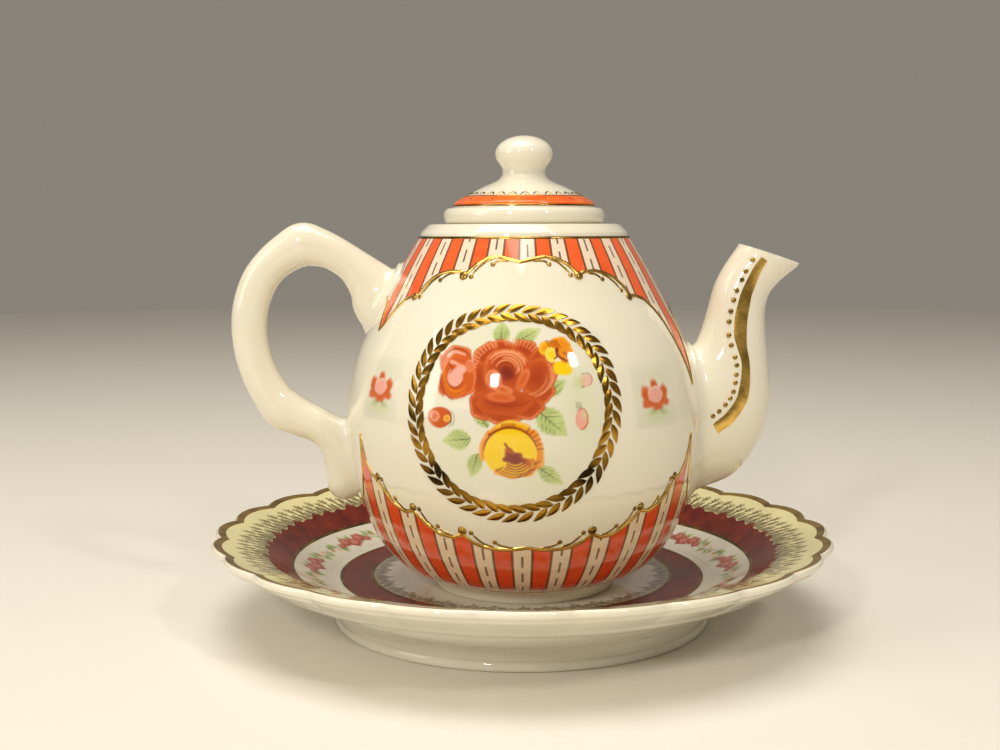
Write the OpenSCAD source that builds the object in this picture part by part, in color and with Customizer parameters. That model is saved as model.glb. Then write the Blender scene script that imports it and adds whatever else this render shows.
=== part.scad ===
// Miniature porcelain tea set: a lidded pot with a looped handle and a hollow spout, standing on a
// scalloped footed saucer. Millimetres, +Z up, origin at the centre of the saucer's foot ring on the
// surface it stands on. The spout points along +X, the handle along -X, and the painted front is -Y.

/* [Saucer] */
// Diameter over the crowns of the scallops
saucer_d = 101.2; // [84:0.2:122]
// Height of the rim above the table
saucer_h = 14.8; // [12.4:0.1:18]
// Height of the flat well above the table
well_z = 7.2; // [6:0.1:8.8]
// Radial width of the sloping flange under the rim
flange_w = 8.6; // [7:0.1:10.4]
// Radial width of the curved wall between the well and the flange
cavetto_w = 12; // [10:0.1:14.5]
// Share of the rise from the well to the rim that the curved wall takes
cavetto_share = 0.71; // [0.6:0.01:0.85]
// Thickness of the dish at its rim
saucer_rim_t = 1.4; // [1.1:0.05:1.8]
// Number of scallops round the rim
scallops = 24; // [16:1:32]
// Depth of the notches between the scallops
scallop_depth = 1.15; // [0.9:0.05:1.5]
// Height of the saucer's foot ring
saucer_foot_h = 3.6; // [3:0.1:4.4]
// Radial width of the saucer's foot ring
saucer_foot_w = 2.4; // [2:0.1:3]
// Depth of the turned groove round the saucer's foot ring
foot_groove = 0.3; // [0.2:0.05:0.4]

/* [Saucer decoration] */
// Radial width of the outer enamel band, on the curved wall
outer_band_w = 4.1; // [3.4:0.1:5]
// Radial width of the inner enamel band, on the well
inner_band_w = 4.7; // [3.9:0.1:5.7]
// White margin between the inner band and the foot of the curved wall
band_margin = 0.4; // [0.3:0.05:0.5]
// Width of the gilt line along the rim
rim_gilt_w = 1.3; // [1:0.1:1.6]
// White lip left outside the gilt line
rim_lip_w = 0.45; // [0.35:0.05:0.55]
// Width of the fine gilt lines beside the bands
gilt_line_w = 0.5; // [0.4:0.05:0.6]
// Thickness of the fired enamel and gilding
enamel_t = 0.12; // [0.1:0.01:0.15]

/* [Pot] */
// Greatest diameter of the pot's body
body_d = 56.4; // [47:0.2:68]
// Height of the body, from the top of its foot ring to the foot of its collar
body_h = 53.5; // [44.5:0.1:64.2]
// Thickness of the pot's wall
pot_wall = 2; // [1.6:0.1:2.4]
// Height of the pot's foot ring
pot_foot_h = 2.2; // [1.8:0.1:2.7]
// Radial width of the pot's foot ring
pot_foot_w = 3.2; // [2.6:0.1:3.9]
// Height of the collar round the mouth
collar_h = 1.8; // [1.5:0.1:2.2]
// Width of the bevel on the collar
collar_bevel = 1.5; // [1.2:0.1:1.8]
// Diameter of the mouth
mouth_d = 21.6; // [18:0.2:26]
// Where the pot stands, as a share of the free room in front of the saucer's centre
stand_share = 0.65; // [0:0.05:1]

/* [Spout] */
// How far the beak reaches beyond the body's greatest radius
spout_reach = 15.2; // [12.6:0.1:18.4]
// Width of the spout across its mouth
spout_mouth_w = 7.8; // [6.5:0.1:9.4]
// Width of the spout where it leaves the body
spout_root_w = 15; // [12.5:0.1:18]
// Thickness of the spout's wall
spout_wall = 1.1; // [0.9:0.05:1.35]
// Diameter of each strainer hole in the wall behind the spout
strainer_d = 1.6; // [1.3:0.1:2]
// Distance from the middle strainer hole to the others
strainer_pitch = 3; // [2.5:0.1:3.6]

/* [Handle] */
// How far the loop reaches beyond the body's greatest radius
handle_reach = 18.3; // [15.2:0.1:22]
// Thickness of the grip, seen from the front
handle_t = 5.5; // [4.6:0.1:6.6]
// Width of the grip, seen from the end
handle_w = 5; // [4.1:0.1:6]

/* [Lid] */
// Width of the lid's rim that seats on the collar, outside the mouth
lid_seat_w = 1.9; // [1.6:0.1:2.2]
// Thickness of the lid's rounded rim
lid_rim_t = 2.5; // [2.1:0.1:3]
// Rise of the lid from the top of its rim to its neck
lid_rise = 5.6; // [4.7:0.1:6.7]
// Gap between the mouth and the lid's locating ring
lid_gap = 0.3; // [0.25:0.05:0.4]
// Depth of the locating ring below the rim
lid_ring_h = 3; // [2.5:0.1:3.6]
// Thickness of the locating ring
lid_ring_t = 1.2; // [1:0.1:1.5]
// Thickness of the lid over its hollow
lid_wall = 1.7; // [1.4:0.1:2]
// Diameter of the knob
knob_d = 9.1; // [7.6:0.1:10.9]
// Height of the knob
knob_h = 5.7; // [4.8:0.1:6.8]
// Diameter of the lid's neck under the knob
neck_d = 6.8; // [5.7:0.1:7.5]

/* [Hidden] */
$fn = 96;

porcelain = "#F4EFE6";
gilt = "#C79A3A";
maroon = "#7A2A20";
vermilion = "#F0602A";

// Saucer, from the rim inwards
saucer_r = saucer_d / 2;
flange_r = saucer_r - flange_w;
well_r = flange_r - cavetto_w;
flange_z = well_z + (saucer_h - well_z) * cavetto_share;
saucer_foot_r = well_r + 1;
outer_band_r = flange_r;
outer_band_in = outer_band_r - outer_band_w;
outer_band_skin = saucer_skin(outer_band_in, outer_band_r, 6);
inner_band_r = well_r - band_margin;
inner_band_in = inner_band_r - inner_band_w;

// Pot, from the well upwards
pot_foot_z = well_z;
body_z = pot_foot_z + pot_foot_h;
collar_z = body_z + body_h;
seat_z = collar_z + collar_h;
body_r = body_d / 2;
mouth_r = mouth_d / 2;

// Outline of the body as [share of body_r, share of body_h]
body_shape = [
    [0.546, 0], [0.702, 0.034], [0.819, 0.103], [0.890, 0.176], [0.943, 0.265], [0.980, 0.365],
    [1, 0.475], [0.979, 0.568], [0.933, 0.658], [0.850, 0.753], [0.770, 0.828], [0.674, 0.920],
    [0.582, 1]
];
body_curve = [for (p = spline(body_shape, 5)) [p[0] * body_r, body_z + p[1] * body_h]];
// Steps of that curve that the base and the belly reach up to, where the ware is divided
base_steps = 15;
belly_steps = 45;
neck_r = body_curve[len(body_curve) - 1][0];
pot_foot_r = body_curve[0][0];
// The pot's axis stands a little to the spout's side of the saucer's
pot_x = 0.4;
pot_y = -stand_share * (inner_band_in - pot_foot_r);

// Upper and lower edges of the spout as [share of the way from the body to the beak, share of body_h]
spout_top = [
    [-0.25, 0.600], [-0.02, 0.652], [0.08, 0.680], [0.15, 0.707], [0.245, 0.753], [0.327, 0.800],
    [0.40, 0.847], [0.475, 0.890], [0.554, 0.930], [0.631, 0.968]
];
spout_under = [
    [-0.15, 0.205], [0.12, 0.245], [0.414, 0.290], [0.63, 0.393], [0.725, 0.514], [0.725, 0.634],
    [0.733, 0.750], [0.777, 0.817], [0.865, 0.862], [1, 0.909]
];
// Share of the way from the root's width to the mouth's width at each pair of edge points
spout_taper = [0, 0.10, 0.28, 0.47, 0.65, 0.82, 0.96, 1.05, 1.06, 1];
spout_sides = 32;

// Middle line of the handle as [share of the way from the body to the reach, share of body_h]
handle_line = [
    [-0.10, 0.790], [0.035, 0.822], [0.15, 0.866], [0.285, 0.913], [0.42, 0.950], [0.52, 0.968],
    [0.60, 0.974], [0.67, 0.955], [0.755, 0.916], [0.825, 0.858], [0.865, 0.773], [0.845, 0.679],
    [0.765, 0.591], [0.66, 0.528], [0.56, 0.487], [0.41, 0.459], [0.245, 0.433], [0.12, 0.392],
    [0.09, 0.320], [0.115, 0.262]
];
// Thickness at each of those points as a share of the grip's
handle_swell = [
    2.35, 1.86, 1.37, 1.03, 1, 1.13, 1.28, 1.15, 1.05, 1.04, 1.03, 1.03, 1.05, 1.10, 1.21, 1.10, 1.03,
    1.13, 1.10, 1.02
];
handle_sides = 20;

// Lid, from its seat upwards
lid_r = mouth_r + lid_seat_w;
lid_ring_r = mouth_r - lid_gap;
lid_hollow_r = lid_ring_r - lid_ring_t;
lid_rim_z = seat_z + lid_rim_t;
neck_z = lid_rim_z + lid_rise;
knob_neck_r = neck_d / 2;
lid_rim_round = 0.5;
lid_shoulder_r = lid_r - lid_rim_round;
// Upper outline of the lid as [share of the way from neck to shoulder, share of the rise]
lid_shape = [
    [1, 0], [0.81, 0.205], [0.568, 0.411], [0.347, 0.589], [0.114, 0.75], [0.02, 0.88], [0, 1]
];
lid_curve = [
    for (p = spline(lid_shape, 5))
        [knob_neck_r + p[0] * (lid_shoulder_r - knob_neck_r), lid_rim_z + p[1] * lid_rise]
];
// Number of steps of that curve that the enamel band covers
lid_band_steps = 8;

// A smooth curve through all of the points, with the given number of steps between two of them
function spline(points, steps) = concat(
    [for (i = [0:len(points) - 2]) for (j = [0:steps - 1]) spline_at(points, i, j / steps)],
    [points[len(points) - 1]]
);

// One place on that curve, a share t of the way from point i to the next
function spline_at(points, i, t) =
    let (
        a = points[max(i - 1, 0)],
        b = points[i],
        c = points[i + 1],
        d = points[min(i + 2, len(points) - 1)]
    )
    (2 * b + (c - a) * t + (2 * a - 5 * b + 4 * c - d) * t * t + (3 * b - a - 3 * c + d) * t * t * t) / 2;

// The same points in the opposite order
function reversed(list) = [for (i = [len(list) - 1:-1:0]) list[i]];

// Points evenly spaced from one radius to another on a surface of revolution
function radii(from, to, steps) = [for (i = [0:steps]) from + (to - from) * i / steps];

// Height of the saucer's upper surface at radius r
function saucer_top(r) =
    r <= well_r ? well_z
    : r <= flange_r ? well_z + (flange_z - well_z) * pow((r - well_r) / cavetto_w, 1.6)
    : flange_z + (saucer_h - flange_z) * (r - flange_r) / flange_w;

// Height of the saucer's underside at radius r, outside its foot ring
function saucer_under(r) =
    let (out = (r - saucer_foot_r) / (saucer_r - saucer_foot_r))
    saucer_foot_h + (saucer_h - saucer_rim_t - saucer_foot_h) * pow(out, 1.12);

// Points on the saucer's upper surface between two radii
function saucer_skin(from, to, steps) = [for (r = radii(from, to, steps)) [r, saucer_top(r)]];

// Radius of the pot's body at height z
function body_r_at(z) = lookup(z, [for (p = body_curve) [p[1], p[0]]]);

// Point i of the body's inner surface, a wall's thickness inside the outer one
function body_inner(i) =
    let (
        along = body_curve[min(i + 1, len(body_curve) - 1)] - body_curve[max(i - 1, 0)],
        out = [along[1], -along[0]] / norm(along)
    )
    body_curve[i] - pot_wall * out;

// A point [x, z] a share u of the way from the body's surface to the given reach, a share h up the body
function beside_body(u, h, reach) =
    let (z = body_z + h * body_h, r = body_r_at(z))
    [r + u * (body_r + reach - r), z];

// Radius of the lobes that give the scallops their depth, for an outline of the given radius
function lobe_r(r) =
    let (half = 180 / scallops, notch = r - scallop_depth, gap = notch * cos(half) - r)
    -(gap * gap + pow(notch * sin(half), 2)) / (2 * gap);

// A layer of even height lying on the given points
module layer(points, height) {
    rotate_extrude()
        polygon(concat(points, [for (p = reversed(points)) [p[0], p[1] + height]]));
}

// The scalloped outline of the saucer, drawn in by inset
module scalloped(inset) {
    r = saucer_r - inset;
    lobe = lobe_r(r);
    circle(r - scallop_depth * 1.5);
    for (i = [0:scallops - 1])
        rotate(i * 360 / scallops)
            translate([r - lobe, 0])
                circle(lobe);
}

// A closed solid through rings of points: capped at both ends, or joined round when looped
module through_rings(rings, looped) {
    count = len(rings);
    sides = len(rings[0]);
    spans = looped ? count : count - 1;
    sides_faces = [
        for (i = [0:spans - 1]) for (k = [0:sides - 1])
            let (a = i * sides, b = ((i + 1) % count) * sides, n = (k + 1) % sides)
            each [[a + k, b + k, b + n], [a + k, b + n, a + n]]
    ];
    first_cap = looped ? [] : [[for (k = [0:sides - 1]) k]];
    last_cap = looped ? [] : [[for (k = [sides - 1:-1:0]) (count - 1) * sides + k]];
    polyhedron(points = [for (ring = rings) each ring], faces = concat(sides_faces, first_cap, last_cap));
}

// The pot's body as a filled solid, which the spout and the handle are cut to
module body_solid() {
    rotate_extrude()
        polygon(concat([[0, body_z]], body_curve, [[0, collar_z]]));
}

// Puts a piece that is drawn on the pot's own axis where the pot stands
module on_stand() {
    translate([pot_x, pot_y, 0])
        children();
}

module saucer_dish() {
    top = concat(
        [[0, well_z]],
        saucer_skin(well_r, outer_band_in, 8),
        [for (p = outer_band_skin) if (p[0] > outer_band_in) p],
        [[saucer_r + 1, saucer_top(saucer_r + 1)]]
    );
    under = [for (r = radii(saucer_foot_r, saucer_r, 10)) [r, saucer_under(r)]];
    outside = [saucer_r + 1, saucer_under(saucer_r)];
    color(porcelain)
        intersection() {
            rotate_extrude()
                polygon(concat(top, [outside], reversed(under), [[0, saucer_foot_h]]));
            linear_extrude(saucer_h + 2)
                scalloped(0);
        }
}

module saucer_foot_ring() {
    inner = saucer_foot_r - saucer_foot_w;
    groove_z = saucer_foot_h * 0.42;
    color(porcelain)
        rotate_extrude()
            polygon([
                [inner + 0.4, 0], [saucer_foot_r - 0.4, 0], [saucer_foot_r, 0.4],
                [saucer_foot_r, groove_z - foot_groove], [saucer_foot_r - foot_groove, groove_z],
                [saucer_foot_r, groove_z + foot_groove], [saucer_foot_r, saucer_foot_h],
                [inner, saucer_foot_h], [inner, 0.4]
            ]);
}

module saucer_outer_band() {
    color(maroon)
        layer(outer_band_skin, enamel_t);
}

module saucer_inner_band() {
    color(maroon)
        layer([[inner_band_in, well_z], [inner_band_r, well_z]], enamel_t);
}

module saucer_gilt_lines() {
    color(gilt) {
        layer([[inner_band_in - gilt_line_w, well_z], [inner_band_in, well_z]], enamel_t);
        layer([[inner_band_r, well_z], [well_r, well_z]], enamel_t);
        intersection() {
            layer(saucer_skin(well_r, outer_band_in, 8), enamel_t);
            difference() {
                cylinder(h = saucer_h, r = outer_band_in);
                translate([0, 0, -1])
                    cylinder(h = saucer_h + 2, r = outer_band_in - gilt_line_w);
            }
        }
    }
}

module saucer_rim_gilding() {
    color(gilt)
        intersection() {
            layer([[flange_r, flange_z], [saucer_r + 1, saucer_top(saucer_r + 1)]], enamel_t);
            linear_extrude(saucer_h + 2)
                difference() {
                    scalloped(rim_lip_w);
                    scalloped(rim_lip_w + rim_gilt_w);
                }
        }
}

module pot_base() {
    floor_z = body_z + pot_wall;
    inner = [for (i = [2:base_steps]) let (p = body_inner(i)) if (p[1] > floor_z + 0.1) p];
    color(porcelain)
        on_stand()
            rotate_extrude()
                polygon(concat(
                    [[0, body_z]], [for (i = [0:base_steps]) body_curve[i]],
                    reversed(inner), [[inner[0][0] - 0.5, floor_z], [0, floor_z]]
                ));
}

module pot_body() {
    hole_z = body_z + 0.47 * body_h;
    color(porcelain)
        on_stand()
            difference() {
                rotate_extrude()
                    polygon(concat(
                        [for (i = [base_steps:belly_steps]) body_curve[i]],
                        [for (i = [belly_steps:-1:base_steps]) body_inner(i)]
                    ));
                strainer_holes(hole_z);
            }
}

module pot_shoulder() {
    last = len(body_curve) - 1;
    inner = [for (i = [belly_steps:last]) let (p = body_inner(i)) if (p[1] < collar_z - 0.1) p];
    color(porcelain)
        on_stand()
            rotate_extrude()
                polygon(concat(
                    [for (i = [belly_steps:last]) body_curve[i]],
                    [[neck_r - pot_wall, collar_z]], reversed(inner)
                ));
}

// Seven holes through the wall behind the spout, six of them round the middle one
module strainer_holes(middle_z) {
    places = concat([[0, 0]], [for (a = [0:60:300]) strainer_pitch * [cos(a), sin(a)]]);
    for (place = places)
        translate([body_r - 3 * pot_wall, place[0], middle_z + place[1]])
            rotate([0, 90, 0])
                cylinder(h = 5 * pot_wall, d = strainer_d);
}

module pot_foot_ring() {
    bottom_r = pot_foot_r - 1.2;
    color(porcelain)
        on_stand()
            rotate_extrude()
                polygon([
                    [pot_foot_r - pot_foot_w, pot_foot_z], [bottom_r, pot_foot_z],
                    [bottom_r + 0.5, pot_foot_z + 0.3], [pot_foot_r - 0.3, body_z - 0.5],
                    [pot_foot_r, body_z], [pot_foot_r - pot_foot_w, body_z]
                ]);
}

module mouth_collar() {
    color(porcelain)
        on_stand()
            difference() {
                rotate_extrude()
                    polygon([
                        [0, collar_z], [neck_r, collar_z],
                        [neck_r - collar_bevel * 0.2, collar_z + collar_h / 3],
                        [neck_r - collar_bevel * 0.47, collar_z + collar_h * 0.55],
                        [neck_r - collar_bevel, seat_z], [0, seat_z]
                    ]);
                translate([0, 0, collar_z - 1])
                    cylinder(h = collar_h + 2, r = mouth_r);
            }
}

module collar_gilt_line() {
    // It lies on the last of the body's curve, under the collar
    last = len(body_curve) - 1;
    line = [for (i = [last - 2:last]) body_curve[i]];
    color(gilt)
        on_stand()
            rotate_extrude()
                polygon(concat(line, [for (p = reversed(line)) [p[0] + enamel_t, p[1]]]));
}

module foot_gilt_line() {
    line = [for (i = [0:2]) body_curve[i]];
    color(gilt)
        on_stand()
            rotate_extrude()
                polygon(concat(line, [for (p = reversed(line)) [p[0] + enamel_t, p[1]]]));
}

module spout() {
    pairs = spline([
        for (i = [0:len(spout_top) - 1])
            concat(
                beside_body(spout_top[i][0], spout_top[i][1], spout_reach),
                beside_body(spout_under[i][0], spout_under[i][1], spout_reach),
                [(spout_root_w + (spout_mouth_w - spout_root_w) * spout_taper[i]) / 2]
            )
    ], 3);
    outer = [for (p = pairs) spout_ring(p, 0)];
    inner = [for (p = pairs) spout_ring(p, spout_wall)];
    color(porcelain)
        on_stand()
            difference() {
                through_rings(concat(outer, reversed(inner)), true);
                body_solid();
            }
}

// One ring of the spout between an upper and a lower edge point, drawn in by inset
function spout_ring(p, inset) =
    let (
        top = [p[0], 0, p[1]],
        under = [p[2], 0, p[3]],
        middle = (top + under) / 2,
        half = (under - top) / 2,
        across = half * (norm(half) - inset) / norm(half)
    )
    [
        for (k = [0:spout_sides - 1])
            let (a = 360 * k / spout_sides)
            middle + across * cos(a) + [0, (p[4] - inset) * sin(a), 0]
    ];

module handle() {
    line = spline([
        for (i = [0:len(handle_line) - 1])
            concat(
                beside_body(handle_line[i][0], handle_line[i][1], handle_reach),
                [handle_swell[i]]
            )
    ], 3);
    last = len(line) - 1;
    rings = [for (i = [0:last]) handle_ring(line[i], line[min(i + 1, last)] - line[max(i - 1, 0)], 1, 0)];
    end = line[last] - line[last - 1];
    tip = [for (a = [20:20:80]) handle_ring(line[last], end, cos(a), handle_t / 2 * sin(a))];
    color(porcelain)
        on_stand()
            difference() {
                mirror([1, 0, 0])
                    through_rings(concat(rings, tip), false);
                body_solid();
            }
}

// One ring of the handle round its middle line, scaled, and moved ahead along the line
function handle_ring(p, along, scale, ahead) =
    let (
        length = norm([along[0], along[1]]),
        forward = [along[0], 0, along[1]] / length,
        out = [-forward[2], 0, forward[0]],
        half_t = p[2] * handle_t / 2 * scale,
        half_w = (1 + (p[2] - 1) * 0.5) * handle_w / 2 * scale
    )
    [
        for (k = [0:handle_sides - 1])
            let (a = 360 * k / handle_sides)
            [p[0], 0, p[1]] + forward * ahead + out * half_t * cos(a) + [0, half_w * sin(a), 0]
    ];

module lid_dome() {
    rim = [
        for (a = [-90:15:90])
            [lid_shoulder_r + lid_rim_round * cos(a), seat_z + lid_rim_t / 2 + lid_rim_t / 2 * sin(a)]
    ];
    // The hollow's roof follows the lid, a wall's thickness below it
    roof = [
        [lid_hollow_r, seat_z + lid_rim_t - lid_wall * 0.6],
        [lid_hollow_r * 0.75, seat_z + lid_rim_t + lid_rise * 0.3 - lid_wall],
        [lid_hollow_r * 0.45, seat_z + lid_rim_t + lid_rise * 0.55 - lid_wall],
        [0, seat_z + lid_rim_t + lid_rise * 0.65 - lid_wall]
    ];
    color(porcelain)
        on_stand()
            rotate_extrude()
                polygon(concat(
                    [[lid_hollow_r, seat_z]], rim,
                    [for (i = [1:len(lid_curve) - 1]) lid_curve[i]],
                    [[0, neck_z]], reversed(roof)
                ));
}

module lid_locating_ring() {
    color(porcelain)
        on_stand()
            difference() {
                translate([0, 0, seat_z - lid_ring_h])
                    cylinder(h = lid_ring_h, r = lid_ring_r);
                translate([0, 0, seat_z - lid_ring_h - 1])
                    cylinder(h = lid_ring_h + 2, r = lid_hollow_r);
            }
}

module lid_knob() {
    // A flattened ball, cut off where it meets the neck
    ball_h = knob_h * 0.51;
    ball_z = neck_z + knob_h - ball_h;
    start = -acos(knob_neck_r * 2 / knob_d);
    ball = [
        for (i = [0:18])
            let (a = start + (90 - start) * i / 18)
            [knob_d / 2 * cos(a), ball_z + ball_h * sin(a)]
    ];
    color(porcelain)
        on_stand()
            rotate_extrude()
                polygon(concat([[0, neck_z], [knob_neck_r, neck_z]], ball, [[0, neck_z + knob_h]]));
}

module lid_enamel_band() {
    line = [for (i = [1:lid_band_steps]) lid_curve[i]];
    color(vermilion)
        on_stand()
            layer(reversed(line), enamel_t);
}

saucer_dish();
saucer_foot_ring();
saucer_outer_band();
saucer_inner_band();
saucer_gilt_lines();
saucer_rim_gilding();
pot_base();
pot_body();
pot_shoulder();
pot_foot_ring();
mouth_collar();
spout();
handle();
collar_gilt_line();
foot_gilt_line();
lid_dome();
lid_locating_ring();
lid_knob();
lid_enamel_band();
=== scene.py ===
"""The looks of a miniature porcelain tea set: a lidded pot, its lid and a scalloped saucer.

Everything is drawn in millimetres and turned to metres when a mesh is made. Azimuths are measured from
the painted front (-Y) towards the spout (+X).
"""
import logging
import math
from collections.abc import Callable
from dataclasses import dataclass, field
from enum import Enum

import bmesh
import bpy
import numpy as np
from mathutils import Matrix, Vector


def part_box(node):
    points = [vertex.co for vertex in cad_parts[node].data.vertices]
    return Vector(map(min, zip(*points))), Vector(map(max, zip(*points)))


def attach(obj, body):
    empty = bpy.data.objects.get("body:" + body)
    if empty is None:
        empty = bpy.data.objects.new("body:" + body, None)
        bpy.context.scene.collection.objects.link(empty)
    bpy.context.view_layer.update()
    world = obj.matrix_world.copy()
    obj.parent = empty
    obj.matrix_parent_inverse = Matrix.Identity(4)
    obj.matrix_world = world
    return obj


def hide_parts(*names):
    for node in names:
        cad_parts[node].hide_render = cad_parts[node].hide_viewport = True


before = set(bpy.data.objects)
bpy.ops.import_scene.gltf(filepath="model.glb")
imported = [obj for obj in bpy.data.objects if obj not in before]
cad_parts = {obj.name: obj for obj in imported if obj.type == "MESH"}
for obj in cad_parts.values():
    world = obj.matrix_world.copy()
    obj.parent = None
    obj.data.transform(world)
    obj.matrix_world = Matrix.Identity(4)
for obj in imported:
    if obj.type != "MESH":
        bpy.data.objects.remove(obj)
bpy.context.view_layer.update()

MM = 0.001
log = logging.getLogger("tea_set")


# ---------------------------------------------------------------------------------------------- colour

def linear(hex_colour: str) -> tuple[float, float, float, float]:
    """Turns an sRGB hex colour such as #F0602A to linear RGBA."""
    values = [int(hex_colour[i:i + 2], 16) / 255 for i in (1, 3, 5)]
    return (*[v / 12.92 if v <= 0.04045 else ((v + 0.055) / 1.055) ** 2.4 for v in values], 1.0)


class Paint(Enum):
    """Overglaze colours, as the painter's palette names them."""

    IVORY = "#F3EAD0"
    CORAL = "#CE5A20"
    DEEP_CORAL = "#A83C12"
    PALE_CORAL = "#EE9A6C"
    CLARET = "#7C260E"
    ROSE_PINK = "#F2AC9C"
    SALMON = "#DF7648"
    YOLK = "#F8CE00"
    AMBER = "#EC8B0A"
    CREAM = "#F5E09A"
    RUST = "#8F3806"
    LEAF = "#C0CE80"
    PALE_LEAF = "#DADDAC"
    LEAF_SHADE = "#A6BB68"
    VEIN = "#394612"
    SAGE = "#8E9A66"
    DUSTY_ROSE = "#C2604C"
    STRAW = "#FBEFAE"
    OCHRE = "#9A7434"
    OLIVE = "#4C3D18"

    @property
    def rgb(self) -> np.ndarray:
        """The colour as sRGB values from 0 to 1."""
        return np.array([int(self.value[i:i + 2], 16) / 255 for i in (1, 3, 5)])


# ------------------------------------------------------------------------------------------- materials

def add_node(tree: bpy.types.NodeTree, kind: str, inputs: dict | None = None, **settings: object) -> bpy.types.Node:
    """Adds a node, sets its properties and fills its sockets.

    Args:
        tree: the tree that the node goes in.
        kind: the node's type.
        inputs: socket name or index to a value, or to another node's output socket.
        settings: properties of the node.

    Returns:
        The new node.
    """
    node = tree.nodes.new(kind)
    for name, value in settings.items():
        setattr(node, name, value)
    for key, value in (inputs or {}).items():
        if isinstance(value, bpy.types.NodeSocket):
            tree.links.new(value, node.inputs[key])
        else:
            node.inputs[key].default_value = value
    return node


def new_material(name: str) -> tuple[bpy.types.Material, bpy.types.NodeTree, bpy.types.Node]:
    """Starts a material with an empty tree and a Principled shader joined to its output.

    Args:
        name: the material's name.

    Returns:
        The material, its tree and its shader.
    """
    material = bpy.data.materials.new(name)
    material.use_nodes = True
    tree = material.node_tree
    tree.nodes.clear()
    shader = add_node(tree, "ShaderNodeBsdfPrincipled")
    add_node(tree, "ShaderNodeOutputMaterial", {"Surface": shader.outputs[0]})
    return material, tree, shader


@dataclass(frozen=True)
class Glaze:
    """Transparent glaze fired over bone-white porcelain: a deep, wet gloss with a faint waviness."""

    thin: str = "#ECE8DA"
    pooled: str = "#E5DFC9"
    roughness: float = 0.05
    ripple_mm: float = 6.0
    ripple: float = 0.035

    def dress(self, tree: bpy.types.NodeTree, shader: bpy.types.Node) -> bpy.types.NodeSocket:
        """Sets up the glaze's gloss and bump, and returns the bare porcelain's colour.

        Args:
            tree: the tree that its nodes go in.
            shader: its Principled shader.

        Returns:
            The bare porcelain's colour.
        """
        place = add_node(tree, "ShaderNodeTexCoord").outputs["Object"]
        pools = add_node(tree, "ShaderNodeTexNoise", {"Vector": place, "Scale": 1 / (self.ripple_mm * 3 * MM)})
        colour = add_node(tree, "ShaderNodeMix", {
            "Factor": pools.outputs["Fac"], "A": linear(self.thin), "B": linear(self.pooled)}, data_type="RGBA")
        wave = add_node(tree, "ShaderNodeTexNoise", {
            "Vector": place, "Scale": 1 / (self.ripple_mm * MM), "Detail": 1.0})
        bump = add_node(tree, "ShaderNodeBump", {
            "Height": wave.outputs["Fac"], "Strength": self.ripple, "Distance": 1 * MM})
        tree.links.new(bump.outputs[0], shader.inputs["Normal"])
        shader.inputs["Roughness"].default_value = self.roughness
        shader.inputs["IOR"].default_value = 1.52
        shader.inputs["Subsurface Weight"].default_value = 0.12
        shader.inputs["Subsurface Radius"].default_value = (0.8, 0.55, 0.35)
        shader.inputs["Subsurface Scale"].default_value = 1.5 * MM
        shader.inputs["Coat Weight"].default_value = 0.4
        shader.inputs["Coat Roughness"].default_value = 0.03
        return colour.outputs["Result"]

    def material(self, name: str) -> bpy.types.Material:
        """The plain glazed porcelain.

        Args:
            name: the material's name.

        Returns:
            The material.
        """
        material, tree, shader = new_material(name)
        tree.links.new(self.dress(tree, shader), shader.inputs["Base Color"])
        return material


@dataclass(frozen=True)
class PaintedGlaze:
    """Enamel colours painted over the glaze, read from the mesh's own paint attribute."""

    roughness: float = 0.06

    def material(self, name: str) -> bpy.types.Material:
        """Porcelain that shows through wherever the paint is thin.

        Args:
            name: the material's name.

        Returns:
            The material.
        """
        material, tree, shader = new_material(name)
        bare = Glaze().dress(tree, shader)
        paint = add_node(tree, "ShaderNodeAttribute", attribute_name="paint")
        colour = add_node(tree, "ShaderNodeMix", {
            "Factor": paint.outputs["Alpha"], "A": bare, "B": paint.outputs["Color"]}, data_type="RGBA")
        tree.links.new(colour.outputs["Result"], shader.inputs["Base Color"])
        shader.inputs["Roughness"].default_value = self.roughness
        return material


@dataclass(frozen=True)
class Gilding:
    """Burnished bright gold: thin metal that mirrors the room, browner in patches where it is rubbed or thin; its
    darkest patch colour is a painted dark reflection as well as wear.
    """

    bright: str = "#EEC468"
    wear_and_dark_reflection: str = "#A8843C"
    roughness: float = 0.2
    grain_mm: float = 0.5
    dark_patch_mm: float = 3.5

    def material(self, name: str) -> bpy.types.Material:
        """Fired gold with fine pits and broader dark patches, which are wear and, where their colour is near black,
        painted dark reflection.

        Args:
            name: the material's name.

        Returns:
            The material.
        """
        material, tree, shader = new_material(name)
        place = add_node(tree, "ShaderNodeTexCoord").outputs["Object"]
        # Broad patches of the darker colour: wear, and on the wreath a painted dark reflection of the room
        dark_patch_noise = add_node(tree, "ShaderNodeTexNoise", {
            "Vector": place, "Scale": 1 / (self.dark_patch_mm * MM), "Detail": 3.0})
        patches = add_node(tree, "ShaderNodeMapRange", {
            "Value": dark_patch_noise.outputs["Fac"], "From Min": 0.42, "From Max": 0.68, "To Min": 0.0, "To Max": 1.0})
        colour = add_node(tree, "ShaderNodeMix", {
            "Factor": patches.outputs[0], "A": linear(self.bright), "B": linear(self.wear_and_dark_reflection)}, data_type="RGBA")
        pits = add_node(tree, "ShaderNodeTexNoise", {"Vector": place, "Scale": 1 / (self.grain_mm * MM)})
        rough = add_node(tree, "ShaderNodeMapRange", {
            "Value": pits.outputs["Fac"], "To Min": self.roughness * 0.7, "To Max": self.roughness * 1.5})
        bump = add_node(tree, "ShaderNodeBump", {
            "Height": pits.outputs["Fac"], "Strength": 0.18, "Distance": 0.1 * MM})
        tree.links.new(colour.outputs["Result"], shader.inputs["Base Color"])
        tree.links.new(rough.outputs[0], shader.inputs["Roughness"])
        tree.links.new(bump.outputs[0], shader.inputs["Normal"])
        shader.inputs["Metallic"].default_value = 1.0
        return material


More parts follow.
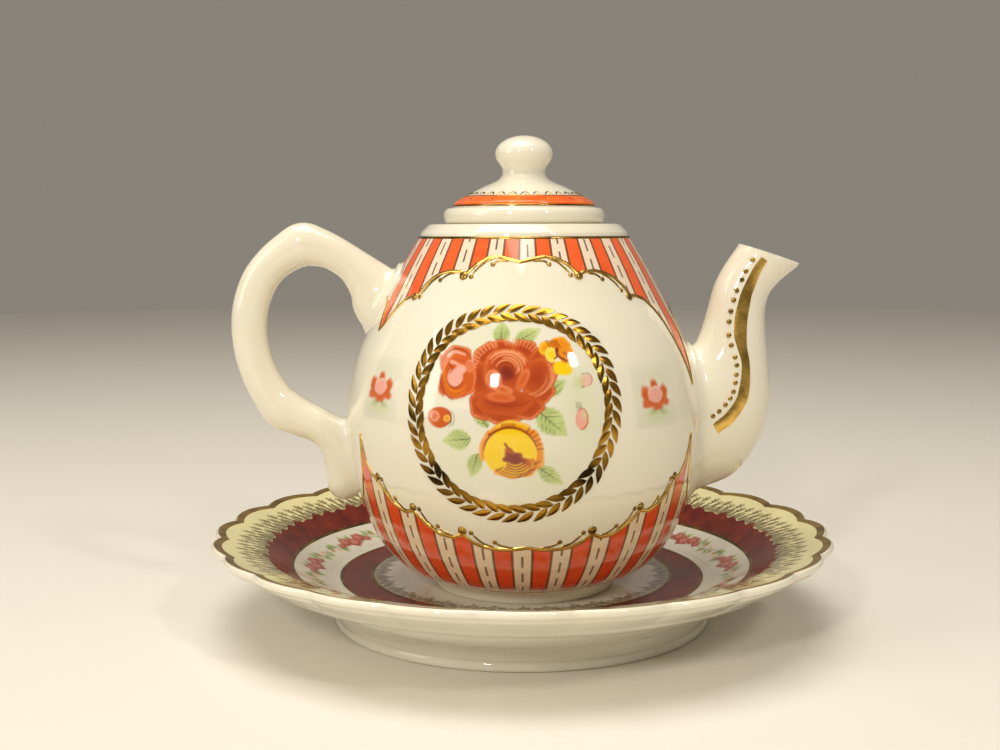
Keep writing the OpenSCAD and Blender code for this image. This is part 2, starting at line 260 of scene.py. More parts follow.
@dataclass(frozen=True)
class BandEnamel:
    """A solid ground-laid enamel band: glassy, with slow changes of depth where it pooled."""

    deep: str
    thin: str
    roughness: float = 0.14
    mottle_mm: float = 2.5

    def material(self, name: str) -> bpy.types.Material:
        """Enamel whose colour drifts between its deep and thin tones.

        Args:
            name: the material's name.

        Returns:
            The material.
        """
        material, tree, shader = new_material(name)
        Glaze().dress(tree, shader)
        place = add_node(tree, "ShaderNodeTexCoord").outputs["Object"]
        mottle = add_node(tree, "ShaderNodeTexNoise", {
            "Vector": place, "Scale": 1 / (self.mottle_mm * MM), "Detail": 4.0})
        drift = add_node(tree, "ShaderNodeMapRange", {
            "Value": mottle.outputs["Fac"], "From Min": 0.35, "From Max": 0.7})
        colour = add_node(tree, "ShaderNodeMix", {
            "Factor": drift.outputs[0], "A": linear(self.deep), "B": linear(self.thin)}, data_type="RGBA")
        tree.links.new(colour.outputs["Result"], shader.inputs["Base Color"])
        shader.inputs["Roughness"].default_value = self.roughness
        shader.inputs["Subsurface Weight"].default_value = 0.0
        shader.inputs["Coat Weight"].default_value = 0.0
        return material


@dataclass(frozen=True)
class StripedEnamel:
    """Printed stripes round the pot: solid enamel and pale stripes with a dashed line down the middle."""

    solid: str
    solid_thin: str
    pale: str
    line: str
    stripes: int
    turn: float
    solid_share: float = 0.49
    line_share: float = 0.035
    dash_mm: float = 3.4
    dash_share: float = 0.62

    def material(self, name: str) -> bpy.types.Material:
        """Reads the turn round the pot and the height in mm from the piece's own UV map.

        Args:
            name: the material's name.

        Returns:
            The material.
        """
        material, tree, shader = new_material(name)
        bare = Glaze().dress(tree, shader)
        uv = add_node(tree, "ShaderNodeUVMap", uv_map="wrap")
        part = add_node(tree, "ShaderNodeSeparateXYZ", {0: uv.outputs[0]})

        def maths(operation: str, *values: float | bpy.types.NodeSocket) -> bpy.types.NodeSocket:
            """One step of arithmetic on sockets or numbers."""
            return add_node(tree, "ShaderNodeMath", dict(enumerate(values)), operation=operation).outputs[0]

        along = maths("MULTIPLY_ADD", part.outputs["X"], float(self.stripes), self.turn + 100.0)
        share = maths("FRACT", along)
        is_solid = maths("LESS_THAN", share, self.solid_share)
        from_edge = maths("ABSOLUTE", maths("SUBTRACT", share, self.solid_share))
        edge_a = maths("LESS_THAN", from_edge, self.line_share)
        wrapped = maths("ABSOLUTE", maths("SUBTRACT", maths("FRACT", maths("ADD", share, 0.5)), 0.5))
        edge = maths("MAXIMUM", edge_a, maths("LESS_THAN", wrapped, self.line_share))
        middle = (1 + self.solid_share) / 2
        on_line = maths("LESS_THAN", maths("ABSOLUTE", maths("SUBTRACT", share, middle)), self.line_share * 0.9)
        stagger = maths("MULTIPLY", maths("FLOOR", along), 0.37)
        run = maths("FRACT", maths("MULTIPLY_ADD", part.outputs["Y"], 1 / self.dash_mm, stagger))
        dash = maths("MULTIPLY", on_line, maths("LESS_THAN", run, self.dash_share))
        ink = maths("MAXIMUM", edge, dash)

        place = add_node(tree, "ShaderNodeTexCoord").outputs["Object"]
        mottle = add_node(tree, "ShaderNodeTexNoise", {"Vector": place, "Scale": 1 / (1.6 * MM), "Detail": 3.0})
        body = add_node(tree, "ShaderNodeMix", {
            "Factor": mottle.outputs["Fac"], "A": linear(self.solid), "B": linear(self.solid_thin)},
            data_type="RGBA")
        ground = add_node(tree, "ShaderNodeMix", {
            "Factor": 0.75, "A": bare, "B": linear(self.pale)}, data_type="RGBA")
        stripe = add_node(tree, "ShaderNodeMix", {
            "Factor": is_solid, "A": ground.outputs["Result"], "B": body.outputs["Result"]}, data_type="RGBA")
        inked = add_node(tree, "ShaderNodeMix", {
            "Factor": maths("MULTIPLY", ink, 0.85), "A": stripe.outputs["Result"], "B": linear(self.line)},
            data_type="RGBA")
        tree.links.new(inked.outputs["Result"], shader.inputs["Base Color"])
        shader.inputs["Roughness"].default_value = 0.12
        return material


@dataclass(frozen=True)
class StudioFloor:
    """A sheet of matt pale paper."""

    colour: str = "#E9E5DD"

    def material(self, name: str) -> bpy.types.Material:
        """Paper with a very faint tooth.

        Args:
            name: the material's name.

        Returns:
            The material.
        """
        material, tree, shader = new_material(name)
        place = add_node(tree, "ShaderNodeTexCoord").outputs["Object"]
        tooth = add_node(tree, "ShaderNodeTexNoise", {"Vector": place, "Scale": 1 / (1.5 * MM)})
        bump = add_node(tree, "ShaderNodeBump", {
            "Height": tooth.outputs["Fac"], "Strength": 0.05, "Distance": 0.1 * MM})
        tree.links.new(bump.outputs[0], shader.inputs["Normal"])
        shader.inputs["Base Color"].default_value = linear(self.colour)
        shader.inputs["Roughness"].default_value = 0.75
        return material


# ---------------------------------------------------------------------------------------------- meshes

def spline(points: np.ndarray, steps: int) -> np.ndarray:
    """A smooth curve through all of the points.

    Args:
        points: one row for each point.
        steps: the number of steps between two of them.

    Returns:
        The curve's own rows.
    """
    points = np.asarray(points, float)
    last = len(points) - 1
    rows = []
    for i in range(last):
        a, b, c, d = points[max(i - 1, 0)], points[i], points[i + 1], points[min(i + 2, last)]
        for t in np.arange(steps) / steps:
            rows.append((2 * b + (c - a) * t + (2 * a - 5 * b + 4 * c - d) * t ** 2
                         + (3 * b - a - 3 * c + d) * t ** 3) / 2)
    rows.append(points[last])
    return np.array(rows)


def new_piece(name: str, verts: np.ndarray, faces: list, material: bpy.types.Material,
              uvs: np.ndarray | None = None, paint: np.ndarray | None = None,
              merge: bool = True, crease_deg: float = 50.0) -> bpy.types.Object:
    """Makes an object from points in millimetres.

    Args:
        name: the piece's name.
        verts: the points, one row each.
        faces: tuples of point numbers.
        material: the finish.
        uvs: one row for each corner of each face, for the map called wrap.
        paint: one RGBA row for each point, already linear.
        merge: whether points that coincide are joined, which closes seams and poles.
        crease_deg: edges sharper than this stay crisp.

    Returns:
        The linked object, at the origin.
    """
    mesh = bpy.data.meshes.new(name)
    mesh.from_pydata((np.asarray(verts) * MM).tolist(), [], faces)
    if uvs is not None:
        mesh.uv_layers.new(name="wrap").data.foreach_set("uv", np.asarray(uvs, np.float32).ravel())
    if paint is not None:
        layer = mesh.color_attributes.new("paint", "FLOAT_COLOR", "POINT")
        layer.data.foreach_set("color", np.asarray(paint, np.float32).ravel())
    work = bmesh.new()
    work.from_mesh(mesh)
    if merge:
        bmesh.ops.remove_doubles(work, verts=work.verts, dist=1e-7)
    bmesh.ops.recalc_face_normals(work, faces=work.faces)
    work.to_mesh(mesh)
    work.free()
    mesh.validate()
    mesh.polygons.foreach_set("use_smooth", [True] * len(mesh.polygons))
    mesh.set_sharp_from_angle(angle=math.radians(crease_deg))
    mesh.materials.append(material)
    piece = bpy.data.objects.new(name, mesh)
    bpy.context.scene.collection.objects.link(piece)
    return piece


def grid_faces(rows: int, cols: int, wrap_rows: bool, wrap_cols: bool) -> tuple[list, np.ndarray]:
    """Faces over a grid of points.

    Args:
        rows: points down the grid.
        cols: points across it.
        wrap_rows: whether the last row joins the first.
        wrap_cols: whether the last column joins the first.

    Returns:
        The faces, and for each corner its row and column before wrapping, for laying a UV map.
    """
    i, j = np.meshgrid(np.arange(rows if wrap_rows else rows - 1),
                       np.arange(cols if wrap_cols else cols - 1), indexing="ij")
    corner_rows = np.stack([i, i, i + 1, i + 1], -1).reshape(-1, 4)
    corner_cols = np.stack([j, j + 1, j + 1, j], -1).reshape(-1, 4)
    faces = (corner_rows % rows) * cols + corner_cols % cols
    return faces.tolist(), np.stack([corner_rows, corner_cols], -1).reshape(-1, 2)


def sweep(name: str, rings: np.ndarray, material: bpy.types.Material, looped: bool = False,
          merge: bool = True, crease_deg: float = 50.0) -> bpy.types.Object:
    """A closed solid through rings of points, capped at both ends unless it is looped.

    Args:
        name: the piece's name.
        rings: rings of points, one after another.
        material: the finish.
        looped: whether the last ring joins the first.
        merge: whether points that coincide are joined.
        crease_deg: edges sharper than this stay crisp.

    Returns:
        The linked object.
    """
    count, sides = rings.shape[:2]
    faces, _ = grid_faces(count, sides, looped, True)
    if not looped:
        faces += [list(range(sides))[::-1], list(range((count - 1) * sides, count * sides))]
    return new_piece(name, rings.reshape(-1, 3), faces, material, merge=merge, crease_deg=crease_deg)


def turned(name: str, section: np.ndarray, axis: tuple[float, float], material: bpy.types.Material,
           segments: int = 192, crease_deg: float = 40.0) -> bpy.types.Object:
    """A piece turned on the wheel from a closed outline.

    Args:
        name: the piece's name.
        section: the outline as [radius, height] rows, closed from last to first.
        axis: the vertical axis's place.
        material: the finish.
        segments: facets round the axis.
        crease_deg: edges sharper than this stay crisp.

    Returns:
        The linked object.
    """
    angles = np.linspace(0, 2 * np.pi, segments, endpoint=False)
    r, z = section[:, 0, None], section[:, 1, None]
    points = np.stack([axis[0] + r * np.sin(angles), axis[1] - r * np.cos(angles),
                       z + 0 * angles], -1)
    faces, _ = grid_faces(len(section), segments, True, True)
    return new_piece(name, points.reshape(-1, 3), faces, material, crease_deg=crease_deg)


def sheet_solid(name: str, top: np.ndarray, under: np.ndarray, material: bpy.types.Material,
                keep: np.ndarray | None = None, closed: bool = False, uv: np.ndarray | None = None,
                paint: np.ndarray | None = None) -> bpy.types.Object:
    """A thin layer between two grids of points, walled all round.

    Args:
        name: the piece's name.
        top: grid of points on the outer face, rows by columns.
        under: the same grid on the hidden face.
        material: the finish.
        keep: which cells to keep, all of them by default.
        closed: whether the columns join round.
        uv: the map's own values at each row and column, one column more than the grid when closed.
        paint: RGBA at each point.

    Returns:
        The linked object.
    """
    rows, cols = top.shape[:2]
    faces, corners = grid_faces(rows, cols, False, closed)
    faces = np.array(faces)
    corner_uv = None if uv is None else uv[corners[:, 0], corners[:, 1]].reshape(-1, 4, 2)
    if keep is not None:
        chosen = keep.ravel()
        faces = faces[chosen]
        corner_uv = None if corner_uv is None else corner_uv[chosen]
    edges = np.concatenate([faces[:, [k, (k + 1) % 4]] for k in range(4)])
    key = np.sort(edges, 1)
    _, first, counts = np.unique(key, axis=0, return_index=True, return_counts=True)
    border = edges[first[counts == 1]]
    offset = rows * cols
    walls = np.stack([border[:, 1], border[:, 0], border[:, 0] + offset, border[:, 1] + offset], 1)
    every = np.concatenate([faces, faces[:, ::-1] + offset, walls])
    used, renumbered = np.unique(every, return_inverse=True)
    points = np.concatenate([top.reshape(-1, 3), under.reshape(-1, 3)])[used]
    colours = None
    if paint is not None:
        colours = np.concatenate([paint.reshape(-1, 4)] * 2)[used]
    uvs = None
    if corner_uv is not None:
        wall_uv = np.zeros((len(walls), 4, 2)) + corner_uv[0, 0]
        uvs = np.concatenate([corner_uv, corner_uv[:, ::-1], wall_uv]).reshape(-1, 2)
    return new_piece(name, points, renumbered.reshape(-1, 4).tolist(), material, uvs, colours, merge=False)


# ------------------------------------------------------------------------------------------- surfaces

@dataclass
class Lathe:
    """A surface of revolution: a meridian of [radius, height] rows about a vertical axis."""

    meridian: np.ndarray
    axis: tuple[float, float]
    length: np.ndarray = field(init=False)

    def __post_init__(self) -> None:
        """Measures the length along the meridian."""
        steps = np.hypot(*np.diff(self.meridian, axis=0).T)
        self.length = np.concatenate([[0], np.cumsum(steps)])

    def radius(self, z: np.ndarray) -> np.ndarray:
        """Radius at a height, on a meridian that only rises."""
        return np.interp(z, self.meridian[:, 1], self.meridian[:, 0])

    def length_at(self, z: float) -> float:
        """Length along the meridian at a height."""
        return float(np.interp(z, self.meridian[:, 1], self.length))

    def at(self, azimuth: np.ndarray, length: np.ndarray, lift: float | np.ndarray = 0.0) -> np.ndarray:
        """Points over the surface.

        Args:
            azimuth: turn from the front, in degrees.
            length: place along the meridian, in millimetres.
            lift: height over the surface.

        Returns:
            One row for each point.
        """
        azimuth, length = np.broadcast_arrays(azimuth, length)
        r = np.interp(length, self.length, self.meridian[:, 0])
        z = np.interp(length, self.length, self.meridian[:, 1])
        slope_r = np.gradient(self.meridian[:, 0], self.length)
        slope_z = np.gradient(self.meridian[:, 1], self.length)
        out = np.interp(length, self.length, slope_z)
        up = -np.interp(length, self.length, slope_r)
        angle = np.radians(azimuth)
        reach = r + lift * out
        return np.stack([self.axis[0] + reach * np.sin(angle), self.axis[1] - reach * np.cos(angle),
                         z + lift * up], -1)

    def laid(self, u: np.ndarray, v: np.ndarray, azimuth: float, z: float,
             lift: float | np.ndarray = 0.0) -> np.ndarray:
        """Lays a flat transfer on the surface: u runs round and v up from the given place.

        Args:
            u: distances round the surface.
            v: distances up the surface.
            azimuth: where u is zero.
            z: the height where v is zero.
            lift: height over the surface.

        Returns:
            One row for each point.
        """
        length = self.length_at(z) + v
        r = np.interp(length, self.length, self.meridian[:, 0])
        return self.at(azimuth + np.degrees(u / r), length, lift)


def raised_line(name: str, surface: Lathe, path: np.ndarray, width: float, height: float,
                material: bpy.types.Material, sides: int = 8) -> bpy.types.Object:
    """A half-round line of raised gold along a path of [azimuth, length] rows, pointed at its ends.

    Args:
        name: the piece's name.
        surface: the surface that it lies on.
        path: its [azimuth, length] rows.
        width: its width.
        height: its height over the surface.
        material: the finish.
        sides: points round it.

    Returns:
        The linked object.
    """
    centre = surface.at(path[:, 0], path[:, 1])
    normal = surface.at(path[:, 0], path[:, 1], 1.0) - centre
    ahead = np.gradient(centre, axis=0)
    across = np.cross(normal, ahead)
    across /= np.linalg.norm(across, axis=1, keepdims=True)
    taper = np.clip(np.minimum(np.arange(len(path)), np.arange(len(path))[::-1]) / 2.0, 0.15, 1)[:, None, None]
    angle = np.linspace(0, 2 * np.pi, sides, endpoint=False)[None, :, None]
    rings = (centre[:, None] + across[:, None] * np.cos(angle) * width / 2 * taper
             + normal[:, None] * np.sin(angle) * height * taper)
    return sweep(name, rings, material)


def join(name: str, pieces: list[bpy.types.Object]) -> bpy.types.Object:
    """Joins pieces of one finish into one object.

    Args:
        name: the joined object's name.
        pieces: the objects to join.

    Returns:
        The joined object.
    """
    with bpy.context.temp_override(active_object=pieces[0], selected_editable_objects=pieces,
                                   object=pieces[0], selected_objects=pieces):
        bpy.ops.object.join()
    pieces[0].name = name
    pieces[0].data.name = name
    return pieces[0]


# --------------------------------------------------------------------------------------------- painting

class Canvas:
    """Colour and cover at the points of a patch, built up stroke by stroke in the painter's order."""

    def __init__(self, u: np.ndarray, v: np.ndarray) -> None:
        """Starts a blank patch at the given places, in millimetres.

        Args:
            u: places across the patch, in millimetres.
            v: places up the patch.
        """
        self.u = u
        self.v = v
        self.colour = np.zeros(u.shape + (3,))
        self.cover = np.zeros(u.shape)

    def lay(self, cover: np.ndarray, colour: np.ndarray) -> None:
        """Lays colour over what is there, as thickly as cover says.

        Args:
            cover: how thickly it lies, from 0 to 1.
            colour: its sRGB values.
        """
        cover = np.clip(cover, 0, 1)
        total = cover + self.cover * (1 - cover)
        mixed = colour * cover[..., None] + self.colour * (self.cover * (1 - cover))[..., None]
        self.colour = np.where(total[..., None] > 1e-6, mixed / np.maximum(total, 1e-6)[..., None], self.colour)
        self.cover = total

    def local(self, x: float, y: float, turn: float) -> tuple[np.ndarray, np.ndarray]:
        """Places measured from a point, along and across a direction in degrees.

        Args:
            x: the point's place across the patch.
            y: the point's place up the patch.
            turn: the direction, in degrees.

        Returns:
            Distances along and across the direction.
        """
        a = math.radians(turn)
        du, dv = self.u - x, self.v - y
        return du * math.cos(a) + dv * math.sin(a), -du * math.sin(a) + dv * math.cos(a)

    def petal(self, x: float, y: float, rx: float, ry: float, turn: float, ground: Paint, heart: Paint,
              rim: Paint, ruffle: float = 0.05, waves: int = 5, rim_at: float = 90.0, soft: float = 0.28,
              strength: float = 1.0) -> None:
        """A petal: dark at its heart, with a pale lip along the side that faces rim_at.

        Args:
            x: its place across the patch.
            y: its place up the patch.
            rx: half of its width.
            ry: half of its height.
            turn: its turn, in degrees.
            ground: its main colour.
            heart: its colour at the heart.
            rim: the colour of its lip.
            ruffle: how deep its edge waves.
            waves: how often its edge waves.
            rim_at: the way that its lip faces, in degrees.
            soft: the width of its soft edge.
            strength: how thickly it is laid, from 0 to 1.
        """
        a, b = self.local(x, y, turn)
        angle = np.arctan2(b / ry, a / rx)
        reach = np.hypot(a / rx, b / ry) / (1 + ruffle * np.cos(waves * angle + x * 3 + y))
        size = min(rx, ry)
        inside = np.clip(0.5 - (reach - 1) * size / soft, 0, 1)
        shade = np.clip(reach ** 1.5, 0, 1)[..., None]
        tone = heart.rgb * (1 - shade) + ground.rgb * shade
        streak = 0.5 + 0.5 * np.cos(angle * 17 + reach * 3)
        facing = 0.5 + 0.5 * np.cos(angle - math.radians(rim_at - turn))
        lip = np.exp(-((reach - 0.86) / 0.09) ** 2) * facing ** 1.5 * (0.65 + 0.35 * streak)
        tone = tone * (1 - lip[..., None] * 0.85) + rim.rgb * lip[..., None] * 0.85
        edge = np.exp(-((reach - 1.0) / (0.12 / size + 0.02)) ** 2)[..., None] * 0.5
        tone = tone * (1 - edge) + heart.rgb * edge
        self.lay(inside * strength, tone)

    def stroke(self, points: list[tuple[float, float]], width: float, colour: Paint, strength: float = 1.0,
               soft: float = 0.16) -> None:
        """A brush stroke through the points, finer towards its end.

        Args:
            points: the places it runs through.
            width: its width.
            colour: its colour.
            strength: how thickly it is laid, from 0 to 1.
            soft: the width of its soft edge.
        """
        path = spline(np.array(points), 6) if len(points) > 2 else np.array(points, float)
        best = np.full(self.u.shape, 1e9)
        for k in range(len(path) - 1):
            a, b = path[k], path[k + 1]
            d = b - a
            t = np.clip(((self.u - a[0]) * d[0] + (self.v - a[1]) * d[1]) / max(d @ d, 1e-9), 0, 1)
            fine = width / 2 * (1 - 0.6 * (k + t) / len(path))
            best = np.minimum(best, np.hypot(self.u - a[0] - t * d[0], self.v - a[1] - t * d[1]) - fine)
        self.lay(np.clip(0.5 - best / soft, 0, 1) * strength, colour.rgb)

    def arc(self, x: float, y: float, rx: float, ry: float, start: float, stop: float, width: float,
            colour: Paint, strength: float = 1.0) -> None:
        """A stroke along part of an ellipse, fading towards both ends.

        Args:
            x: its place across the patch.
            y: its place up the patch.
            rx: half of its width.
            ry: half of its height.
            start: where it starts, in degrees.
            stop: where it stops, in degrees.
            width: its width.
            colour: its colour.
            strength: how thickly it is laid, from 0 to 1.
        """
        a = (self.u - x) / rx
        b = (self.v - y) / ry
        angle = np.degrees(np.arctan2(b, a))
        swing = (stop - start) / 2
        off = np.abs((angle - (start + stop) / 2 + 180) % 360 - 180) / swing
        fine = width / 2 * np.sqrt(np.clip(1 - off ** 2, 0, 1))
        gap = np.abs(np.hypot(a, b) - 1) * (rx + ry) / 2 - fine
        self.lay(np.clip(0.5 - gap / 0.16, 0, 1) * (off < 1) * strength, colour.rgb)

    def leaf(self, x: float, y: float, length: float, width: float, turn: float, strength: float = 1.0) -> None:
        """A leaf from its stalk at x, y along turn, soft at its edge, with its veins inked near the stalk.

        Args:
            x: its place across the patch.
            y: its place up the patch.
            length: its length.
            width: its width.
            turn: its turn, in degrees.
            strength: how thickly it is laid, from 0 to 1.
        """
        a, b = self.local(x, y, turn)
        t = a / length
        half = width / 2 * np.sin(np.pi * np.clip(t, 0, 1) ** 0.8) * (1 + 0.05 * np.cos(t * 44))
        inside = np.clip(0.5 - (np.abs(b) - half) / 0.4, 0, 1) * (t > 0) * (t < 1)
        deep = np.clip(0.3 + 0.5 * np.sin(t * 5 + b) - 0.3 * t, 0, 1)[..., None]
        self.lay(inside * 0.9 * strength, Paint.LEAF.rgb * (1 - deep) + Paint.LEAF_SHADE.rgb * deep)
        fade = np.clip(1.25 - t * 1.2, 0, 1)
        rib = np.clip(0.5 - (np.abs(b) - 0.06) / 0.1, 0, 1) * (t > 0.02) * (t < 0.8)
        slant = (a - np.abs(b) * 1.1) / length * 7.5
        side = np.abs(slant - np.round(slant)) * length / 7.5
        veins = np.clip(0.5 - (side - 0.04) / 0.1, 0, 1) * (np.abs(b) < half * 0.8) * (t > 0.04) * (t < 0.75)
        self.lay(np.maximum(rib, veins * 0.85) * strength * fade, Paint.VEIN.rgb)

    def wash(self, x: float, y: float, rx: float, ry: float, colour: Paint, strength: float) -> None:
        """A soft cloud of thin colour."""
        self.lay(np.exp(-((self.u - x) / rx) ** 2 - ((self.v - y) / ry) ** 2) * strength, colour.rgb)

    def rgba(self) -> np.ndarray:
        """The finished colours, linear, with the cover as alpha.

        Returns:
            One RGBA row for each point.
        """
        c = self.colour
        flat = np.where(c <= 0.04045, c / 12.92, ((c + 0.055) / 1.055) ** 2.4)
        return np.concatenate([flat, self.cover[..., None]], -1)


# ------------------------------------------------------------------------------------- geometry nodes

def grown(name: str, tree: bpy.types.NodeTree, inputs: dict) -> bpy.types.Mesh:
    """Runs a Geometry Nodes tree on an empty mesh and gives back the plain mesh that it makes.

    Args:
        name: a name for the mesh.
        tree: the tree, ending in Realize Instances and Set Material.
        inputs: the tree's named inputs and their values.

    Returns:
        The evaluated mesh, with the modifier gone.
    """
    holder = bpy.data.objects.new(name + "_holder", bpy.data.meshes.new(name + "_holder"))
    bpy.context.scene.collection.objects.link(holder)
    modifier = holder.modifiers.new("grow", "NODES")
    modifier.node_group = tree
    for item in tree.interface.items_tree:
        if item.item_type == "SOCKET" and item.in_out == "INPUT" and item.name in inputs:
            modifier[item.identifier] = inputs[item.name]
    holder.update_tag()
    depsgraph = bpy.context.evaluated_depsgraph_get()
    mesh = bpy.data.meshes.new_from_object(holder.evaluated_get(depsgraph), depsgraph=depsgraph)
    mesh.name = name
    bpy.data.objects.remove(holder)
    return mesh


def new_tree(name: str, inputs: dict) -> tuple[bpy.types.NodeTree, bpy.types.Node, bpy.types.Node]:
    """Starts a Geometry Nodes tree with named inputs: name to (socket type, default).

    Args:
        name: the tree's name.
        inputs: each input's name, socket type and default.

    Returns:
        The tree, its input node and its output node.
    """
    tree = bpy.data.node_groups.new(name, "GeometryNodeTree")
    tree.interface.new_socket("Geometry", in_out="INPUT", socket_type="NodeSocketGeometry")
    for label, (kind, value) in inputs.items():
        socket = tree.interface.new_socket(label, in_out="INPUT", socket_type=kind)
        if value is not None:
            socket.default_value = value
    tree.interface.new_socket("Geometry", in_out="OUTPUT", socket_type="NodeSocketGeometry")
    return tree, add_node(tree, "NodeGroupInput"), add_node(tree, "NodeGroupOutput")


def leaf_ring_tree(material: bpy.types.Material) -> bpy.types.NodeTree:
    """Leaves in two rows along a ring, all pointing the same way round: a laurel wreath.

    Each row bends its own small grid to a pointed, ridged blade, gives it thickness and sets it out.

    Args:
        material: the leaves' finish.

    Returns:
        The tree.
    """
    tree, given, result = new_tree("laurel_ring", {
        "Count": ("NodeSocketInt", 46), "Radius": ("NodeSocketFloat", 14.65),
        "Leaf Length": ("NodeSocketFloat", 2.9), "Outer Width": ("NodeSocketFloat", 0.95),
        "Inner Width": ("NodeSocketFloat", 1.05), "Outer Splay": ("NodeSocketFloat", 0.4),
        "Inner Splay": ("NodeSocketFloat", 0.47), "Row Gap": ("NodeSocketFloat", 0.12),
        "Thickness": ("NodeSocketFloat", 0.1), "Seed": ("NodeSocketInt", 7)})
    get = given.outputs

    def maths(operation: str, *values: float | bpy.types.NodeSocket) -> bpy.types.NodeSocket:
        """One step of arithmetic."""
        return add_node(tree, "ShaderNodeMath", dict(enumerate(values)), operation=operation).outputs[0]

    place = add_node(tree, "ShaderNodeSeparateXYZ", {0: add_node(tree, "GeometryNodeInputPosition").outputs[0]})
    t = maths("ADD", place.outputs["X"], 0.5)
    swell = maths("SINE", maths("MULTIPLY", maths("POWER", t, 0.8), math.pi))
    ridge = maths("SUBTRACT", 1.0, maths("MULTIPLY", maths("ABSOLUTE", place.outputs["Y"]), 1.5))
    lift = maths("MULTIPLY", maths("MULTIPLY", ridge, get["Thickness"]), maths("ADD", swell, 0.1))
    index = add_node(tree, "GeometryNodeInputIndex").outputs[0]
    turn = maths("MULTIPLY", maths("DIVIDE", index, get["Count"]), -2 * math.pi)
    ring = add_node(tree, "GeometryNodeMeshCircle", {"Vertices": get["Count"], "Radius": 1.0})
    jitter = add_node(tree, "FunctionNodeRandomValue", {
        2: -0.06, 3: 0.06, "Seed": get["Seed"]}, data_type="FLOAT")
    rows = add_node(tree, "GeometryNodeJoinGeometry")
    for row, (way, name) in enumerate(((1.0, "Outer"), (-1.0, "Inner"))):
        side = maths("MULTIPLY", place.outputs["Y"], maths("MULTIPLY", swell, get[name + " Width"]))
        curl = maths("MULTIPLY", maths("MULTIPLY", maths("SUBTRACT", 1.0, t), t), 0.5 * way)
        bent = add_node(tree, "ShaderNodeCombineXYZ", {
            "X": maths("MULTIPLY", t, get["Leaf Length"]), "Y": maths("ADD", side, curl), "Z": lift})
        grid = add_node(tree, "GeometryNodeMeshGrid", {
            "Size X": 1.0, "Size Y": 1.0, "Vertices X": 10, "Vertices Y": 3})
        blade = add_node(tree, "GeometryNodeSetPosition", {
            "Geometry": grid.outputs["Mesh"], "Position": bent.outputs[0]}).outputs[0]
        under = add_node(tree, "GeometryNodeExtrudeMesh", {
            "Mesh": blade, "Offset": (0.0, 0.0, -1.0), "Offset Scale": 0.08, "Individual": False})
        whole = add_node(tree, "GeometryNodeJoinGeometry")
        tree.links.new(add_node(tree, "GeometryNodeFlipFaces", {"Mesh": under.outputs[0]}).outputs[0],
                       whole.inputs[0])
        tree.links.new(blade, whole.inputs[0])
        solid = add_node(tree, "GeometryNodeMergeByDistance", {"Geometry": whole.outputs[0], "Distance": 1e-4})
        reach = maths("MULTIPLY_ADD", get["Row Gap"], way * 0.5, get["Radius"])
        angle = maths("ADD", turn, maths("DIVIDE", row * math.pi, get["Count"]))
        spot = add_node(tree, "ShaderNodeCombineXYZ", {
            "X": maths("MULTIPLY", maths("COSINE", angle), reach),
            "Y": maths("MULTIPLY", maths("SINE", angle), reach)})
        points = add_node(tree, "GeometryNodeSetPosition", {
            "Geometry": ring.outputs[0], "Position": spot.outputs[0]})
        heading = maths("ADD", maths("MULTIPLY_ADD", get[name + " Splay"], way,
                                     maths("SUBTRACT", angle, math.pi / 2)), jitter.outputs[1])
        aim = add_node(tree, "ShaderNodeCombineXYZ", {"Z": heading})
        placed = add_node(tree, "GeometryNodeInstanceOnPoints", {
            "Points": points.outputs[0], "Instance": solid.outputs[0], "Rotation": aim.outputs[0]})
        tree.links.new(placed.outputs[0], rows.inputs[0])
    real = add_node(tree, "GeometryNodeRealizeInstances", {"Geometry": rows.outputs[0]})
    done = add_node(tree, "GeometryNodeSetMaterial", {"Geometry": real.outputs[0], "Material": material})
    tree.links.new(done.outputs[0], result.inputs[0])
    return tree


def bead_row_tree(material: bpy.types.Material) -> bpy.types.NodeTree:
    """Low round beads of raised gold on the points of a mesh, each scaled by the point's own size.

    Args:
        material: the beads' finish.

    Returns:
        The tree.
    """
    tree, given, result = new_tree("bead_row", {
        "Points": ("NodeSocketObject", None), "Flatness": ("NodeSocketFloat", 0.45)})
    source = add_node(tree, "GeometryNodeObjectInfo", {"Object": given.outputs["Points"]})
    size = add_node(tree, "GeometryNodeInputNamedAttribute", {"Name": "size"}, data_type="FLOAT")
    out = add_node(tree, "GeometryNodeInputNamedAttribute", {"Name": "out"}, data_type="FLOAT_VECTOR")
    aim = add_node(tree, "FunctionNodeAlignRotationToVector", {"Vector": out.outputs[0]}, axis="Z")
    bead = add_node(tree, "GeometryNodeMeshUVSphere", {"Segments": 12, "Rings": 8, "Radius": 1.0})
    flat = add_node(tree, "ShaderNodeCombineXYZ", {"X": 1.0, "Y": 1.0, "Z": given.outputs["Flatness"]})
    scale = add_node(tree, "ShaderNodeVectorMath", {
        0: flat.outputs[0], "Scale": size.outputs[0]}, operation="SCALE")
    placed = add_node(tree, "GeometryNodeInstanceOnPoints", {
        "Points": source.outputs["Geometry"], "Instance": bead.outputs[0], "Rotation": aim.outputs[0],
        "Scale": scale.outputs[0]})
    real = add_node(tree, "GeometryNodeRealizeInstances", {"Geometry": placed.outputs[0]})
    done = add_node(tree, "GeometryNodeSetMaterial", {"Geometry": real.outputs[0], "Material": material})
    tree.links.new(done.outputs[0], result.inputs[0])
    return tree


